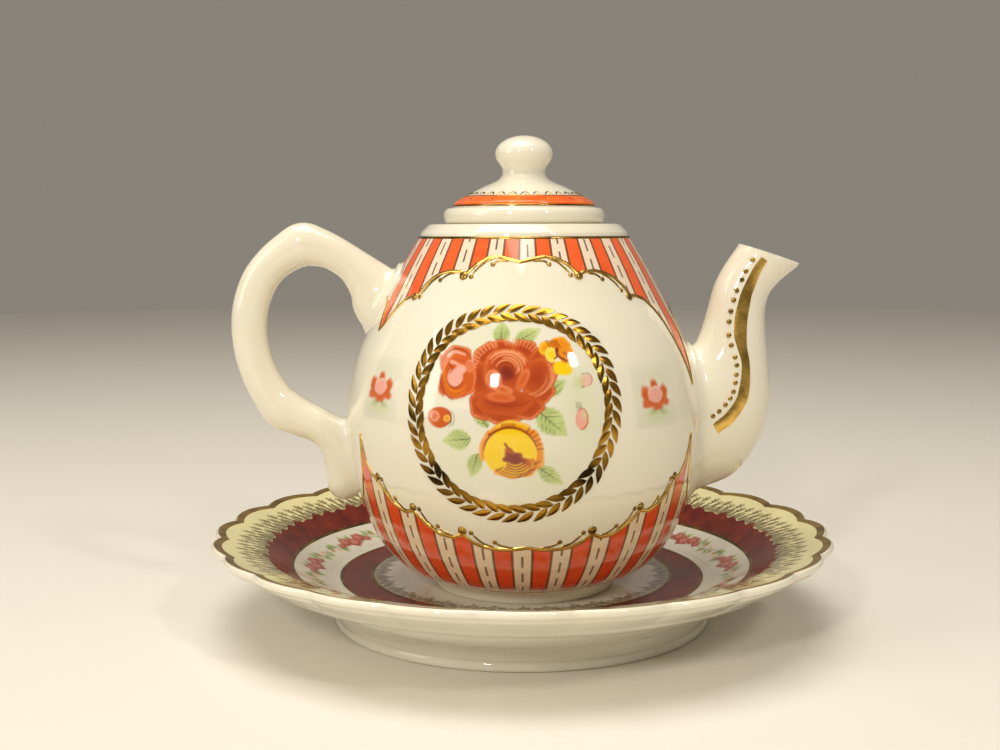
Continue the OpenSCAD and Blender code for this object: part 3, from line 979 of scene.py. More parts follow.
def beads(name: str, places: np.ndarray, outwards: np.ndarray, sizes: np.ndarray,
          material: bpy.types.Material) -> bpy.types.Object:
    """Beads of the given radii at places in millimetres, flattened along the outward directions.

    Args:
        name: the piece's name.
        places: the beads' middles, in millimetres.
        outwards: directions away from the surface.
        sizes: the beads' radii.
        material: the finish.

    Returns:
        The linked object.
    """
    mesh = bpy.data.meshes.new(name + "_points")
    mesh.from_pydata((places * MM).tolist(), [], [])
    mesh.attributes.new("size", "FLOAT", "POINT").data.foreach_set("value", (sizes * MM).astype(np.float32))
    outwards = outwards / np.linalg.norm(outwards, axis=1, keepdims=True)
    mesh.attributes.new("out", "FLOAT_VECTOR", "POINT").data.foreach_set(
        "vector", outwards.astype(np.float32).ravel())
    holder = bpy.data.objects.new(name + "_points", mesh)
    bpy.context.scene.collection.objects.link(holder)
    grown_mesh = grown(name, bead_row_tree(material), {"Points": holder, "Flatness": 0.45})
    bpy.data.objects.remove(holder)
    grown_mesh.polygons.foreach_set("use_smooth", [True] * len(grown_mesh.polygons))
    piece = bpy.data.objects.new(name, grown_mesh)
    bpy.context.scene.collection.objects.link(piece)
    return piece


# ------------------------------------------------------------------------------------------ sub-assemblies

def size_of(node: str) -> tuple[np.ndarray, np.ndarray]:
    """A CAD node's lowest and highest corners, in millimetres."""
    low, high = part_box(node)
    return np.array(low) / MM, np.array(high) / MM


def finished(piece: bpy.types.Object, body: str, slot: str, *nodes: str) -> bpy.types.Object:
    """Hangs a piece on the empty of the body that it rides on, and hides the CAD nodes that it stands for.

    Args:
        piece: the finished object.
        body: the body that it rides on.
        slot: a material slot; not used.
        nodes: the CAD nodes that it stands for.

    Returns:
        The same object.
    """
    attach(piece, body)
    if nodes:
        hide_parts(*nodes)
    log.info("%s rides on %s: %d faces", piece.name, body, len(piece.data.polygons))
    return piece


@dataclass
class Finishes:
    """The finishes that the set's makers used."""

    glaze: bpy.types.Material = field(default_factory=lambda: Glaze().material("glazed_porcelain"))
    painted: bpy.types.Material = field(default_factory=lambda: PaintedGlaze().material("painted_glaze"))
    gold: bpy.types.Material = field(default_factory=lambda: Gilding().material("burnished_gold"))
    dark_gold: bpy.types.Material = field(default_factory=lambda: Gilding(
        bright="#B4924A", wear_and_dark_reflection="#5E4820", roughness=0.22).material("rubbed_gold"))
    # Painted dark reflection: the wreath's near-black patches stand in for the dark room mirrored in its gold,
    # besides wear
    wreath_gold: bpy.types.Material = field(default_factory=lambda: Gilding(
        bright="#B4862E", wear_and_dark_reflection="#2C2210", roughness=0.2, dark_patch_mm=9.0).material("two_tone_gold"))
    maroon: bpy.types.Material = field(default_factory=lambda: BandEnamel(
        deep="#5E160C", thin="#7E2A16", roughness=0.2).material("maroon_enamel"))
    orange: bpy.types.Material = field(default_factory=lambda: BandEnamel(
        deep="#EE5A12", thin="#F67C28").material("orange_enamel"))
    upper_stripes: bpy.types.Material = field(default_factory=lambda: StripedEnamel(
        solid="#F45016", solid_thin="#FA7034", pale="#F8DCC0", line="#4A2409", stripes=24,
        turn=0.68).material("orange_striped_enamel"))
    lower_stripes: bpy.types.Material = field(default_factory=lambda: StripedEnamel(
        solid="#E4481C", solid_thin="#EE6034", pale="#F4D8B0", line="#63350F", stripes=27,
        turn=0.87).material("red_striped_enamel"))


@dataclass
class Pot:
    """The teapot: body, collar, foot ring, spout, handle and all of its painting."""

    finishes: Finishes
    wall: float = 2.0
    fillet: float = 1.8
    root_depth: float = 1.2
    lid_gap: float = 0.3
    foot_w: float = 3.2
    body_shape: tuple = (
        (0.546, 0), (0.702, 0.034), (0.819, 0.103), (0.890, 0.176), (0.943, 0.265), (0.980, 0.365),
        (1, 0.475), (0.979, 0.568), (0.933, 0.658), (0.850, 0.753), (0.770, 0.828), (0.674, 0.920),
        (0.582, 1))
    spout_top: tuple = (
        (-0.25, 0.600), (-0.02, 0.652), (0.08, 0.680), (0.15, 0.707), (0.245, 0.753), (0.327, 0.800),
        (0.40, 0.847), (0.475, 0.890), (0.554, 0.930), (0.631, 0.968))
    spout_under: tuple = (
        (-0.15, 0.205), (0.12, 0.245), (0.414, 0.290), (0.63, 0.393), (0.725, 0.514), (0.725, 0.634),
        (0.733, 0.750), (0.777, 0.817), (0.865, 0.862), (1, 0.909))
    spout_taper: tuple = (0, 0.10, 0.28, 0.47, 0.65, 0.82, 0.96, 1.05, 1.06, 1)
    spout_root_w: float = 15.0
    spout_mouth_w: float = 7.8
    spout_wall: float = 1.1
    lip_bulge: float = 0.35
    spout_gilding: tuple = (
        (37.3, 59.2, 1.1), (36.3, 57.7, 1.3), (35.4, 55.7, 1.5), (34.6, 53.8, 1.7), (34.1, 51.8, 1.9),
        (33.7, 49.7, 2.0), (33.6, 47.5, 2.0), (33.9, 45.4, 1.5), (34.4, 43.2, 1.3), (34.4, 40.8, 1.5),
        (34.2, 39.0, 1.75), (33.8, 37.5, 1.9), (32.9, 36.0, 2.0), (31.7, 34.6, 2.1), (30.6, 33.7, 2.2),
        (29.6, 33.0, 2.3))
    handle_line: tuple = (
        (-0.10, 0.790), (0.035, 0.822), (0.15, 0.866), (0.285, 0.913), (0.42, 0.950), (0.52, 0.968),
        (0.60, 0.974), (0.67, 0.955), (0.755, 0.916), (0.825, 0.858), (0.865, 0.773), (0.845, 0.679),
        (0.765, 0.591), (0.66, 0.528), (0.56, 0.487), (0.41, 0.459), (0.245, 0.433), (0.12, 0.392),
        (0.09, 0.320), (0.115, 0.262))
    handle_swell: tuple = (
        2.35, 1.86, 1.37, 1.03, 1, 1.13, 1.28, 1.15, 1.05, 1.04, 1.03, 1.03, 1.05, 1.10, 1.21, 1.10, 1.03,
        1.13, 1.10, 1.02)
    handle_t: float = 5.5
    handle_w: float = 5.0

    def __post_init__(self) -> None:
        """Takes the pot's place and main sizes from the CAD nodes."""
        low, high = size_of("pot_body")
        self.axis = ((low[0] + high[0]) / 2, (low[1] + high[1]) / 2)
        self.body_r = (high[0] - low[0]) / 2
        self.body_z = size_of("pot_base")[0][2]
        self.collar_z = size_of("pot_shoulder")[1][2]
        self.body_h = self.collar_z - self.body_z
        self.seat_z = size_of("mouth_collar")[1][2]
        self.foot_z = size_of("pot_foot_ring")[0][2]
        self.reach = size_of("spout")[1][0] - self.axis[0] - self.body_r
        self.handle_reach = self.axis[0] - self.body_r - size_of("handle")[0][0] + 0.4
        curve = spline(np.array(self.body_shape), 10)
        self.outline = np.stack([curve[:, 0] * self.body_r, self.body_z + curve[:, 1] * self.body_h], 1)
        self.surface = Lathe(self.outline, self.axis)
        self.neck_r = self.outline[-1, 0]
        self.foot_r = self.outline[0, 0]

    def build(self) -> None:
        """Makes every piece that rides with the teapot."""
        self.make_ware()
        self.make_spout()
        self.make_handle()
        StripedFields(self).build()
        Medallion(self, azimuth=-4.6).build("front")
        Medallion(self, azimuth=175.4).build("back")
        self.make_sprigs()

    def make_ware(self) -> None:
        """The thrown parts: the hollow body, the collar with its bevel, and the foot ring."""
        out = np.gradient(self.outline, axis=0)
        normal = np.stack([out[:, 1], -out[:, 0]], 1) / np.linalg.norm(out, axis=1, keepdims=True)
        inner = (self.outline - normal * self.wall)[::-1]
        inner = inner[(inner[:, 1] > self.body_z + self.wall) & (inner[:, 1] < self.collar_z)]
        section = np.concatenate([
            [[0, self.body_z]], self.outline, [[self.neck_r - self.wall, self.collar_z]], inner,
            [[0, self.body_z + self.wall]]])
        body = turned("pot_body_ware", section, self.axis, self.finishes.glaze)
        finished(body, "teapot", "porcelain", "pot_base", "pot_body", "pot_shoulder")

        mouth_r = size_of("lid_locating_ring")[1][0] - self.axis[0] + self.lid_gap
        rise = self.seat_z - self.collar_z
        bevel = spline(np.array([
            [self.neck_r - 0.05, self.collar_z], [self.neck_r - 0.2, self.collar_z + rise * 0.3],
            [self.neck_r - 0.75, self.collar_z + rise * 0.62], [self.neck_r - 1.35, self.seat_z - 0.12],
            [self.neck_r - 1.7, self.seat_z]]), 4)
        lip = [[mouth_r + 0.25, self.seat_z], [mouth_r + 0.07, self.seat_z - 0.07],
               [mouth_r, self.seat_z - 0.25], [mouth_r, self.collar_z]]
        collar = turned("mouth_collar_ware", np.concatenate([bevel, lip]), self.axis, self.finishes.glaze)
        finished(collar, "teapot", "porcelain", "mouth_collar")

        inner_r = self.foot_r - self.foot_w
        ring = np.array([
            [inner_r, self.foot_z + 0.3], [inner_r + 0.3, self.foot_z], [self.foot_r - 1.45, self.foot_z],
            [self.foot_r - 1.2, self.foot_z + 0.12], [self.foot_r - 0.95, self.foot_z + 0.5],
            [self.foot_r - 0.6, self.foot_z + 1.1], [self.foot_r - 0.2, self.body_z - 0.35],
            [self.foot_r, self.body_z], [inner_r, self.body_z]])
        foot = turned("pot_foot_ware", ring, self.axis, self.finishes.glaze)
        finished(foot, "teapot", "porcelain", "pot_foot_ring")

    def beside_body(self, share: float, height: float, reach: float) -> tuple[float, float]:
        """A point a share of the way from the body's surface to a reach, at a share of its height.

        Args:
            share: how far out it lies, from the surface to the reach.
            height: share of the body's height.
            reach: how far the limb stands out from the body.

        Returns:
            Its distance from the axis and its height.
        """
        z = self.body_z + height * self.body_h
        r = float(self.surface.radius(z))
        return r + share * (self.body_r + reach - r), z

    def seated(self, rings: np.ndarray) -> np.ndarray:
        """Spreads a limb's root into a soft fillet on the body and stops it inside the wall.

        Args:
            rings: rings of points drawn about the pot's axis at x = 0.

        Returns:
            The rings in the set's own frame.
        """
        centre = rings.mean(axis=1, keepdims=True)
        r = np.hypot(rings[..., 0], rings[..., 1])
        height = r - self.surface.radius(rings[..., 2])
        away = rings - centre
        radial = np.stack([rings[..., 0] / r, rings[..., 1] / r, 0 * r], -1)
        away -= radial * (away * radial).sum(-1, keepdims=True)
        away /= np.maximum(np.linalg.norm(away, axis=-1, keepdims=True), 1e-6)
        depth = np.clip(self.fillet - height, 0, self.fillet)
        spread = self.fillet - np.sqrt(np.maximum(self.fillet ** 2 - depth ** 2, 0))
        rings = rings + away * spread[..., None]
        r = np.hypot(rings[..., 0], rings[..., 1])
        floor = self.surface.radius(rings[..., 2]) - self.root_depth
        push = np.maximum(floor / r, 1.0)
        rings[..., 0] *= push
        rings[..., 1] *= push
        return rings + np.array([self.axis[0], self.axis[1], 0.0])

    def spout_pairs(self, steps: int) -> np.ndarray:
        """Upper edge point, lower edge point and half width all along the spout.

        Args:
            steps: steps between two points of the shape.

        Returns:
            One row for each step.
        """
        return spline(np.array([
            (*self.beside_body(*top, self.reach), *self.beside_body(*under, self.reach),
             (self.spout_root_w + (self.spout_mouth_w - self.spout_root_w) * taper) / 2)
            for top, under, taper in zip(self.spout_top, self.spout_under, self.spout_taper)]), steps)

    def spout_rings(self, inset: float, steps: int = 6, sides: int = 56) -> np.ndarray:
        """The spout's rings, drawn in by inset.

        Args:
            inset: how far it is drawn in.
            steps: steps between two points of the shape.
            sides: points round it.

        Returns:
            Rings of points about the pot's axis at x = 0.
        """
        pairs = self.spout_pairs(steps)
        top = np.stack([pairs[:, 0], 0 * pairs[:, 0], pairs[:, 1]], 1)
        under = np.stack([pairs[:, 2], 0 * pairs[:, 0], pairs[:, 3]], 1)
        middle, half = (top + under) / 2, (under - top) / 2
        size = np.linalg.norm(half, axis=1, keepdims=True)
        half = half * (size - inset) / size
        angle = np.linspace(0, 2 * np.pi, sides, endpoint=False)[None, :, None]
        side = np.zeros_like(half)
        side[:, 1] = pairs[:, 4] - inset
        return middle[:, None] + half[:, None] * np.cos(angle) + side[:, None] * np.sin(angle)

    def make_spout(self) -> None:
        """The hollow spout with its rounded lip, its gilt line and its row of gold beads."""
        outer, inner = self.spout_rings(0.0), self.spout_rings(self.spout_wall)
        lip_out, lip_in = outer[-1], inner[-1]
        ahead = np.cross(lip_out[0] - lip_out[len(lip_out) // 2], [0.0, 1.0, 0.0])
        ahead = -ahead / np.linalg.norm(ahead)
        round_lip = [
            (lip_out + lip_in) / 2 + (lip_out - lip_in) / 2 * math.cos(a)
            + ahead * self.lip_bulge * math.sin(a) - ahead * self.lip_bulge
            for a in np.radians([0, 30, 60, 90, 120, 150, 180])]
        rings = np.concatenate([outer[:-1], np.array(round_lip), inner[:-1][::-1]])
        spout = sweep("spout_ware", self.seated(rings), self.finishes.glaze, looped=True, merge=False)
        finished(spout, "teapot", "porcelain", "spout")

        for side, name in ((-1.0, "front"), (1.0, "back")):
            self.spout_line(side, name)

    def spout_side(self, x: float, z: float, side: float) -> np.ndarray:
        """The point of the spout's skin at x from the pot's axis and height z, on the given side.

        Args:
            x: distance from the pot's axis.
            z: height.
            side: -1 for the front, 1 for the back.

        Returns:
            The point.
        """
        pairs = self.spout_pairs(40)
        top, under = pairs[:, 0:2], pairs[:, 2:4]
        chord = under - top
        gap = (x - top[:, 0]) * chord[:, 1] - (z - top[:, 1]) * chord[:, 0]
        k = int(np.nonzero((gap[:-1] * gap[1:] <= 0) & (top[:-1, 1] > z - 14))[0][-1])
        t = gap[k] / (gap[k] - gap[k + 1]) if gap[k] != gap[k + 1] else 0.0
        pair = pairs[k] + (pairs[k + 1] - pairs[k]) * t
        middle, half = (pair[0:2] + pair[2:4]) / 2, (pair[2:4] - pair[0:2]) / 2
        share = float(np.clip((np.array([x, z]) - middle) @ half / (half @ half), -0.98, 0.98))
        return np.array([x, side * pair[4] * math.sqrt(1 - share ** 2), z])

    def spout_line(self, side: float, name: str) -> None:
        """The burnished band down one side of the spout, with the beads along its inner edge.

        Args:
            side: -1 for the front, 1 for the back.
            name: front or back.
        """
        path = spline(np.array(self.spout_gilding), 6)
        points = np.array([self.spout_side(x, z, side) for x, z, _ in path])
        points[1:-1, 1] = (points[:-2, 1] + points[1:-1, 1] * 2 + points[2:, 1]) / 4
        beyond = np.array([self.spout_side(x - 0.6, z, side) for x, z, _ in path])
        inside = beyond - points
        ahead = np.gradient(points, axis=0)
        outs = np.cross(ahead, inside)
        outs /= np.linalg.norm(outs, axis=1, keepdims=True)
        outs *= np.sign(outs[:, 1:2] * side)
        across = np.cross(outs, ahead)
        across /= np.linalg.norm(across, axis=1, keepdims=True)
        across *= np.sign((across * inside).sum(1, keepdims=True))
        half = path[:, 2:3] / 2
        shift = np.array([self.axis[0], self.axis[1], 0.0])
        grid = np.stack([points + across * half * s - outs * (half * s) ** 2 / 9
                         for s in (-1, -0.5, 0, 0.5, 1)], 1)
        band = sheet_solid(f"spout_gilding_{name}", grid + outs[:, None] * 0.07 + shift,
                           grid - outs[:, None] * 0.3 + shift, self.finishes.gold)
        finished(band, "teapot", "gilding")
        length = np.concatenate([[0], np.cumsum(np.linalg.norm(np.diff(points, axis=0), axis=1))])
        stops = np.interp(np.arange(1.2, length[-1], 1.6), length, np.arange(len(length)))
        rows = np.round(stops).astype(int)
        edge = points + across * (half + 0.75)
        row = beads(f"spout_beads_{name}", edge[rows] + shift - outs[rows] * 0.12, outs[rows],
                    np.full(len(rows), 0.42), self.finishes.dark_gold)
        finished(row, "teapot", "gilding")

    def make_handle(self) -> None:
        """The looped handle, swelling where it is luted on, with its tail laid against the body."""
        line = spline(np.array([
            (*self.beside_body(share, height, self.handle_reach), swell)
            for (share, height), swell in zip(self.handle_line, self.handle_swell)]), 5)
        ahead = np.gradient(line[:, :2], axis=0)
        ahead /= np.linalg.norm(ahead, axis=1, keepdims=True)
        sides = np.linspace(0, 2 * np.pi, 40, endpoint=False)
        rings = [self.handle_ring(p, a, 1.0, 0.0, sides) for p, a in zip(line, ahead)]
        tip = [self.handle_ring(line[-1], ahead[-1], math.cos(a), self.handle_t / 2 * math.sin(a), sides)
               for a in np.radians(np.arange(12, 90, 13))]
        rings = np.array(rings + tip)
        rings[..., 0] *= -1
        handle = sweep("handle_ware", self.seated(rings), self.finishes.glaze)
        finished(handle, "teapot", "porcelain", "handle")

    def handle_ring(self, p: np.ndarray, ahead: np.ndarray, scale: float, on: float,
                    sides: np.ndarray) -> np.ndarray:
        """One ring of the handle round its middle line, scaled, and moved on along it.

        Args:
            p: x, height and swell at the middle line.
            ahead: the way that the middle line runs.
            scale: share of its full size.
            on: how far it is moved along the line.
            sides: angles round the ring.

        Returns:
            One row for each point.
        """
        forward = np.array([ahead[0], 0, ahead[1]])
        out = np.array([-ahead[1], 0, ahead[0]])
        half_t = p[2] * self.handle_t / 2 * scale
        half_w = (1 + (p[2] - 1) * 0.5) * self.handle_w / 2 * scale
        return (np.array([p[0], 0, p[1]]) + forward * on + out * half_t * np.cos(sides)[:, None]
                + np.array([0, 1.0, 0]) * half_w * np.sin(sides)[:, None])

    def patch(self, name: str, half_u: float, half_v: float, cell: float, azimuth: float, z: float,
              draw: Callable[[Canvas], None]) -> bpy.types.Object:
        """Lays a painted transfer on the body.

        Args:
            name: the piece's name.
            half_u: half of its width.
            half_v: half of its height.
            cell: spacing of its points.
            azimuth: where its middle lies round the body.
            z: where its middle lies up the body.
            draw: a function that paints on its canvas.

        Returns:
            The linked object.
        """
        u, v = np.meshgrid(np.arange(-half_u, half_u, cell), np.arange(-half_v, half_v, cell))
        canvas = Canvas(u, v)
        draw(canvas)
        thick = canvas.cover > 0.03
        cells = thick[:-1, :-1] | thick[1:, :-1] | thick[:-1, 1:] | thick[1:, 1:]
        top = self.surface.laid(u, v, azimuth, z, 0.03)
        under = self.surface.laid(u, v, azimuth, z, -0.05)
        piece = sheet_solid(name, top, under, self.finishes.painted, keep=cells, paint=canvas.rgba())
        return finished(piece, "teapot", "porcelain")

    def make_sprigs(self) -> None:
        """A small pink rose on each side of both medallions."""
        def draw(c: Canvas) -> None:
            """One full-blown rose over two soft leaves, broader than it is tall.

            Args:
                c: the canvas to paint on.
            """
            c.u = c.u / 1.4
            c.wash(0.0, -3.0, 2.2, 1.2, Paint.LEAF, 0.45)
            c.wash(0.2, 2.9, 2.2, 1.1, Paint.PALE_LEAF, 0.4)
            c.wash(-2.3, 0.4, 0.9, 2.0, Paint.PALE_LEAF, 0.3)
            c.leaf(0.2, -1.9, 1.9, 1.2, -150, 0.45)
            c.leaf(0.3, -1.9, 1.9, 1.2, -35, 0.45)
            for x, y, rx, ry, turn in ((-1.0, -0.9, 1.15, 0.8, 35), (0.2, -1.5, 0.9, 0.7, 10),
                                       (1.2, -0.9, 1.0, 0.65, -35), (-1.3, 0.2, 0.7, 1.3, 8),
                                       (1.3, 0.2, 0.7, 1.25, -10), (0.0, 1.5, 0.55, 0.8, 5)):
                c.petal(x, y, rx, ry, turn, Paint.SALMON, Paint.CORAL, Paint.ROSE_PINK, rim_at=90, soft=0.3)
            c.petal(0.0, 0.1, 1.15, 1.25, 0, Paint.ROSE_PINK, Paint.ROSE_PINK, Paint.IVORY, soft=0.3)
            c.arc(0.0, 0.0, 1.35, 1.45, -170, -10, 0.3, Paint.CORAL, 0.8)
            c.arc(0.0, 0.1, 1.9, 1.7, -150, -30, 0.22, Paint.SALMON, 0.8)

        for k, (azimuth, z) in enumerate(((-51.5, 40.9), (42.5, 40.0), (128.5, 40.9), (-137.5, 40.0))):
            self.patch(f"rose_sprig_{k + 1}", 4.2, 4.6, 0.17, azimuth, z, draw)


@dataclass
class StripedFields:
    """The striped enamel over and under the white ground, edged with raised gold scrolls."""

    pot: Pot
    upper_edge: tuple = ((0, 59.2), (5.5, 59.6), (10.6, 59.95), (15.8, 59.7), (20.3, 58.9), (24.8, 57.3),
                         (27.4, 57.75), (32.5, 57.85), (37.5, 57.5), (41.5, 56.8), (44.7, 55.7), (47.2, 54.1),
                         (50.0, 54.1), (54.5, 53.5), (58.5, 52.0), (61.5, 50.0))
    lower_edge: tuple = ((0, 18.55), (5, 18.25), (9.5, 18.2), (14.5, 18.5), (18.2, 19.2), (21.2, 20.3),
                         (24.5, 19.7), (29.5, 20.0), (34, 21.2), (36.5, 22.2), (38.5, 23.1), (42.7, 22.75),
                         (47, 23.6), (50.5, 25.0), (53.6, 26.8), (57.2, 27.4), (60, 29.2), (61.6, 31.6),
                         (62.2, 33.7))
    upper_turn: float = -2.4
    line_w: float = 0.62

    def build(self) -> None:
        """Both fields, their scrolls and balls, and the gilt lines at the collar and foot."""
        pot = self.pot
        spout_side = np.array(self.upper_edge + ((63.6, 47.4), (66.0, 43.6), (68.0, 40.2)))
        handle_side = np.array(self.upper_edge + ((64.5, 48.8),))
        upper_valley = ((69.5, 44.0), (72, 48.2), (78, 51.5), (90, 52.6))
        upper_valley_h = ((67.0, 50.6), (71, 52.8), (80, 54.0), (90, 54.4))
        lower = np.array(self.lower_edge)
        lower_valley = ((63.0, 30.6), (64.6, 27.2), (69, 23.6), (78, 20.9), (90, 20.0))

        up = self.all_round(spout_side, upper_valley, handle_side, upper_valley_h, self.upper_turn)
        down = self.all_round(lower, lower_valley, lower, lower_valley, 0.0)
        top_length = pot.surface.length_at(pot.collar_z) - 0.2
        field_up = self.field("upper_striped_enamel", up, top_length, pot.finishes.upper_stripes)
        field_down = self.field("lower_striped_enamel", down, 0.15, pot.finishes.lower_stripes)
        finished(field_up, "teapot", "vermilion_enamel")
        finished(field_down, "teapot", "vermilion_enamel")
        self.scrolls("upper", up, self.upper_turn, ((24.8, 57.2, 0.72), (47.2, 54.0, 0.66)), below=True)
        self.scrolls("lower", down, 0.0, ((21.2, 20.9, 0.7), (38.5, 23.7, 0.66), (53.6, 27.4, 0.6)),
                     below=False)
        self.hoops()

    def all_round(self, right: np.ndarray, valley_right: tuple, left: np.ndarray, valley_left: tuple,
                  turn: float) -> np.ndarray:
        """The edge's heights all the way round, from a quarter for the spout's side and one for the handle's.

        Args:
            right: the quarter on the spout's side.
            valley_right: the rest of that quarter.
            left: the quarter on the handle's side.
            valley_left: the rest of that quarter.
            turn: turn of the whole pattern, in degrees.

        Returns:
            Its [azimuth, height] rows.
        """
        quarter_r = np.concatenate([right, valley_right])
        quarter_l = np.concatenate([left, valley_left])
        half_r = np.concatenate([quarter_r, (quarter_r * [-1, 1] + [180, 0])[::-1][1:]])
        half_l = np.concatenate([quarter_l, (quarter_l * [-1, 1] + [180, 0])[::-1][1:]])
        ring = np.concatenate([(half_l * [-1, 1])[::-1][:-1], half_r])
        # The turn fades out towards the spout and the handle, which don't move
        ring[:, 0] += turn * np.cos(np.radians(ring[:, 0])) ** 2 * np.sign(np.cos(np.radians(ring[:, 0])))
        return ring

    def field(self, name: str, edge: np.ndarray, far_length: float,
              material: bpy.types.Material) -> bpy.types.Object:
        """A striped field from a fixed place on the meridian to the scalloped edge.

        Args:
            name: the piece's name.
            edge: the edge's [azimuth, height] rows.
            far_length: the field's other edge, along the meridian.
            material: the finish.

        Returns:
            The linked object.
        """
        surface = self.pot.surface
        azimuth = np.linspace(-180, 180, 1081)
        near = np.array([surface.length_at(z) for z in np.interp(azimuth[:-1], edge[:, 0], edge[:, 1])])
        rows = 40
        share = np.linspace(0, 1, rows)[:, None]
        length = far_length + (near - far_length) * share
        columns = azimuth[:-1] + 0 * share
        top = surface.at(columns, length, 0.03)
        under = surface.at(columns, length, -0.05)
        uv = np.zeros((rows, len(azimuth), 2))
        uv[..., 0] = azimuth / 360
        uv[:, :-1, 1] = length
        uv[:, -1, 1] = length[:, 0]
        if near[0] < far_length:
            top, under = top[:, ::-1], under[:, ::-1]
            uv = uv[:, ::-1]
        return sheet_solid(name, top, under, material, closed=True, uv=uv)

    def scrolls(self, name: str, edge: np.ndarray, turn: float, balls: tuple, below: bool) -> None:
        """The raised gold edge, with a ball at each cusp and a hook inside each arch.

        Args:
            name: upper or lower.
            edge: the edge's [azimuth, height] rows.
            turn: turn of the pattern, in degrees.
            balls: azimuth, height and radius of each ball.
            below: whether the hooks hang below the edge.
        """
        pot = self.pot
        surface = pot.surface
        lines = []
        way = -1 if below else 1
        dense = np.linspace(-180, 180, 1441)
        path = np.stack([dense, [surface.length_at(z) for z in np.interp(dense, edge[:, 0], edge[:, 1])]], 1)
        lines.append(raised_line("line", surface, path, self.line_w, 0.14, pot.finishes.gold))
        places, outs, sizes = [], [], []
        for base in (0.0, 180.0):
            for sign in (-1, 1):
                for ball, z, radius in balls:
                    shift = turn if base == 0 else -turn
                    where = base + sign * ball + shift
                    length = surface.length_at(z)
                    point = surface.at(where, length)
                    places.append(point)
                    outs.append(surface.at(where, length, 1.0) - point)
                    sizes.append(radius)
                starts = [0.0] + [b[0] for b in balls]
                for a, b in zip(starts, starts[1:]):
                    for first, last, drop in ((0.2, 0.5, 0.9), (0.5, 0.86, 1.25)):
                        hook = self.hook(edge, base, sign, (a + (b - a) * first, a + (b - a) * last),
                                         turn if base == 0 else -turn, way * drop)
                        lines.append(raised_line("hook", surface, hook, 0.36, 0.09, pot.finishes.dark_gold))
                        end = surface.at(*hook[-1])
                        places.append(end)
                        outs.append(surface.at(*hook[-1], 1.0) - end)
                        sizes.append(0.38)
        gold = [line for line in lines if line.data.materials[0] is pot.finishes.gold]
        dark = [line for line in lines if line.data.materials[0] is pot.finishes.dark_gold]
        finished(join(f"{name}_scroll_line", gold), "teapot", "gilding")
        finished(join(f"{name}_scroll_hooks", dark), "teapot", "gilding")
        balls_piece = beads(f"{name}_scroll_balls", np.array(places), np.array(outs), np.array(sizes),
                            pot.finishes.dark_gold)
        finished(balls_piece, "teapot", "gilding")

    def hook(self, edge: np.ndarray, base: float, sign: int, span: tuple[float, float], turn: float,
             drop: float) -> np.ndarray:
        """A short line that leaves the gold edge and curls away from it, over a span of azimuth.

        Args:
            edge: the edge's [azimuth, height] rows.
            base: 0 for the front, 180 for the back.
            sign: -1 towards the handle, 1 towards the spout.
            span: where it starts and ends, in degrees.
            turn: turn of the pattern, in degrees.
            drop: how far it curls away along the meridian.

        Returns:
            Its [azimuth, length] rows.
        """
        surface = self.pot.surface
        azimuth = base + sign * np.linspace(*span, 14) + turn
        wrapped = (azimuth + 180) % 360 - 180
        length = np.array([surface.length_at(z) for z in np.interp(wrapped, edge[:, 0], edge[:, 1])])
        share = np.linspace(0, 1, 14)
        away = math.copysign(0.3, drop) + drop * (0.35 * share + 0.65 * share ** 3)
        return np.stack([azimuth, length + away], 1)

    def hoops(self) -> None:
        """The gilt lines under the collar and round the foot of the body."""
        pot = self.pot
        turnings = (("collar_gilding", pot.surface.length_at(pot.collar_z) - 0.3, 0.5, pot.finishes.dark_gold,
                     "collar_gilt_line"),
                    ("foot_gilding", 0.5, 0.6, pot.finishes.gold, "foot_gilt_line"))
        for name, length, width, material, node in turnings:
            azimuth = np.linspace(-180, 180, 181)[:-1]
            angle = np.linspace(0, 2 * np.pi, 8, endpoint=False)
            rings = np.stack([pot.surface.at(azimuth, length + math.cos(a) * width / 2, 0.1 * math.sin(a))
                              for a in angle], 1)
            line = sweep(name, rings, material, looped=True)
            finished(line, "teapot", "gilding", node)


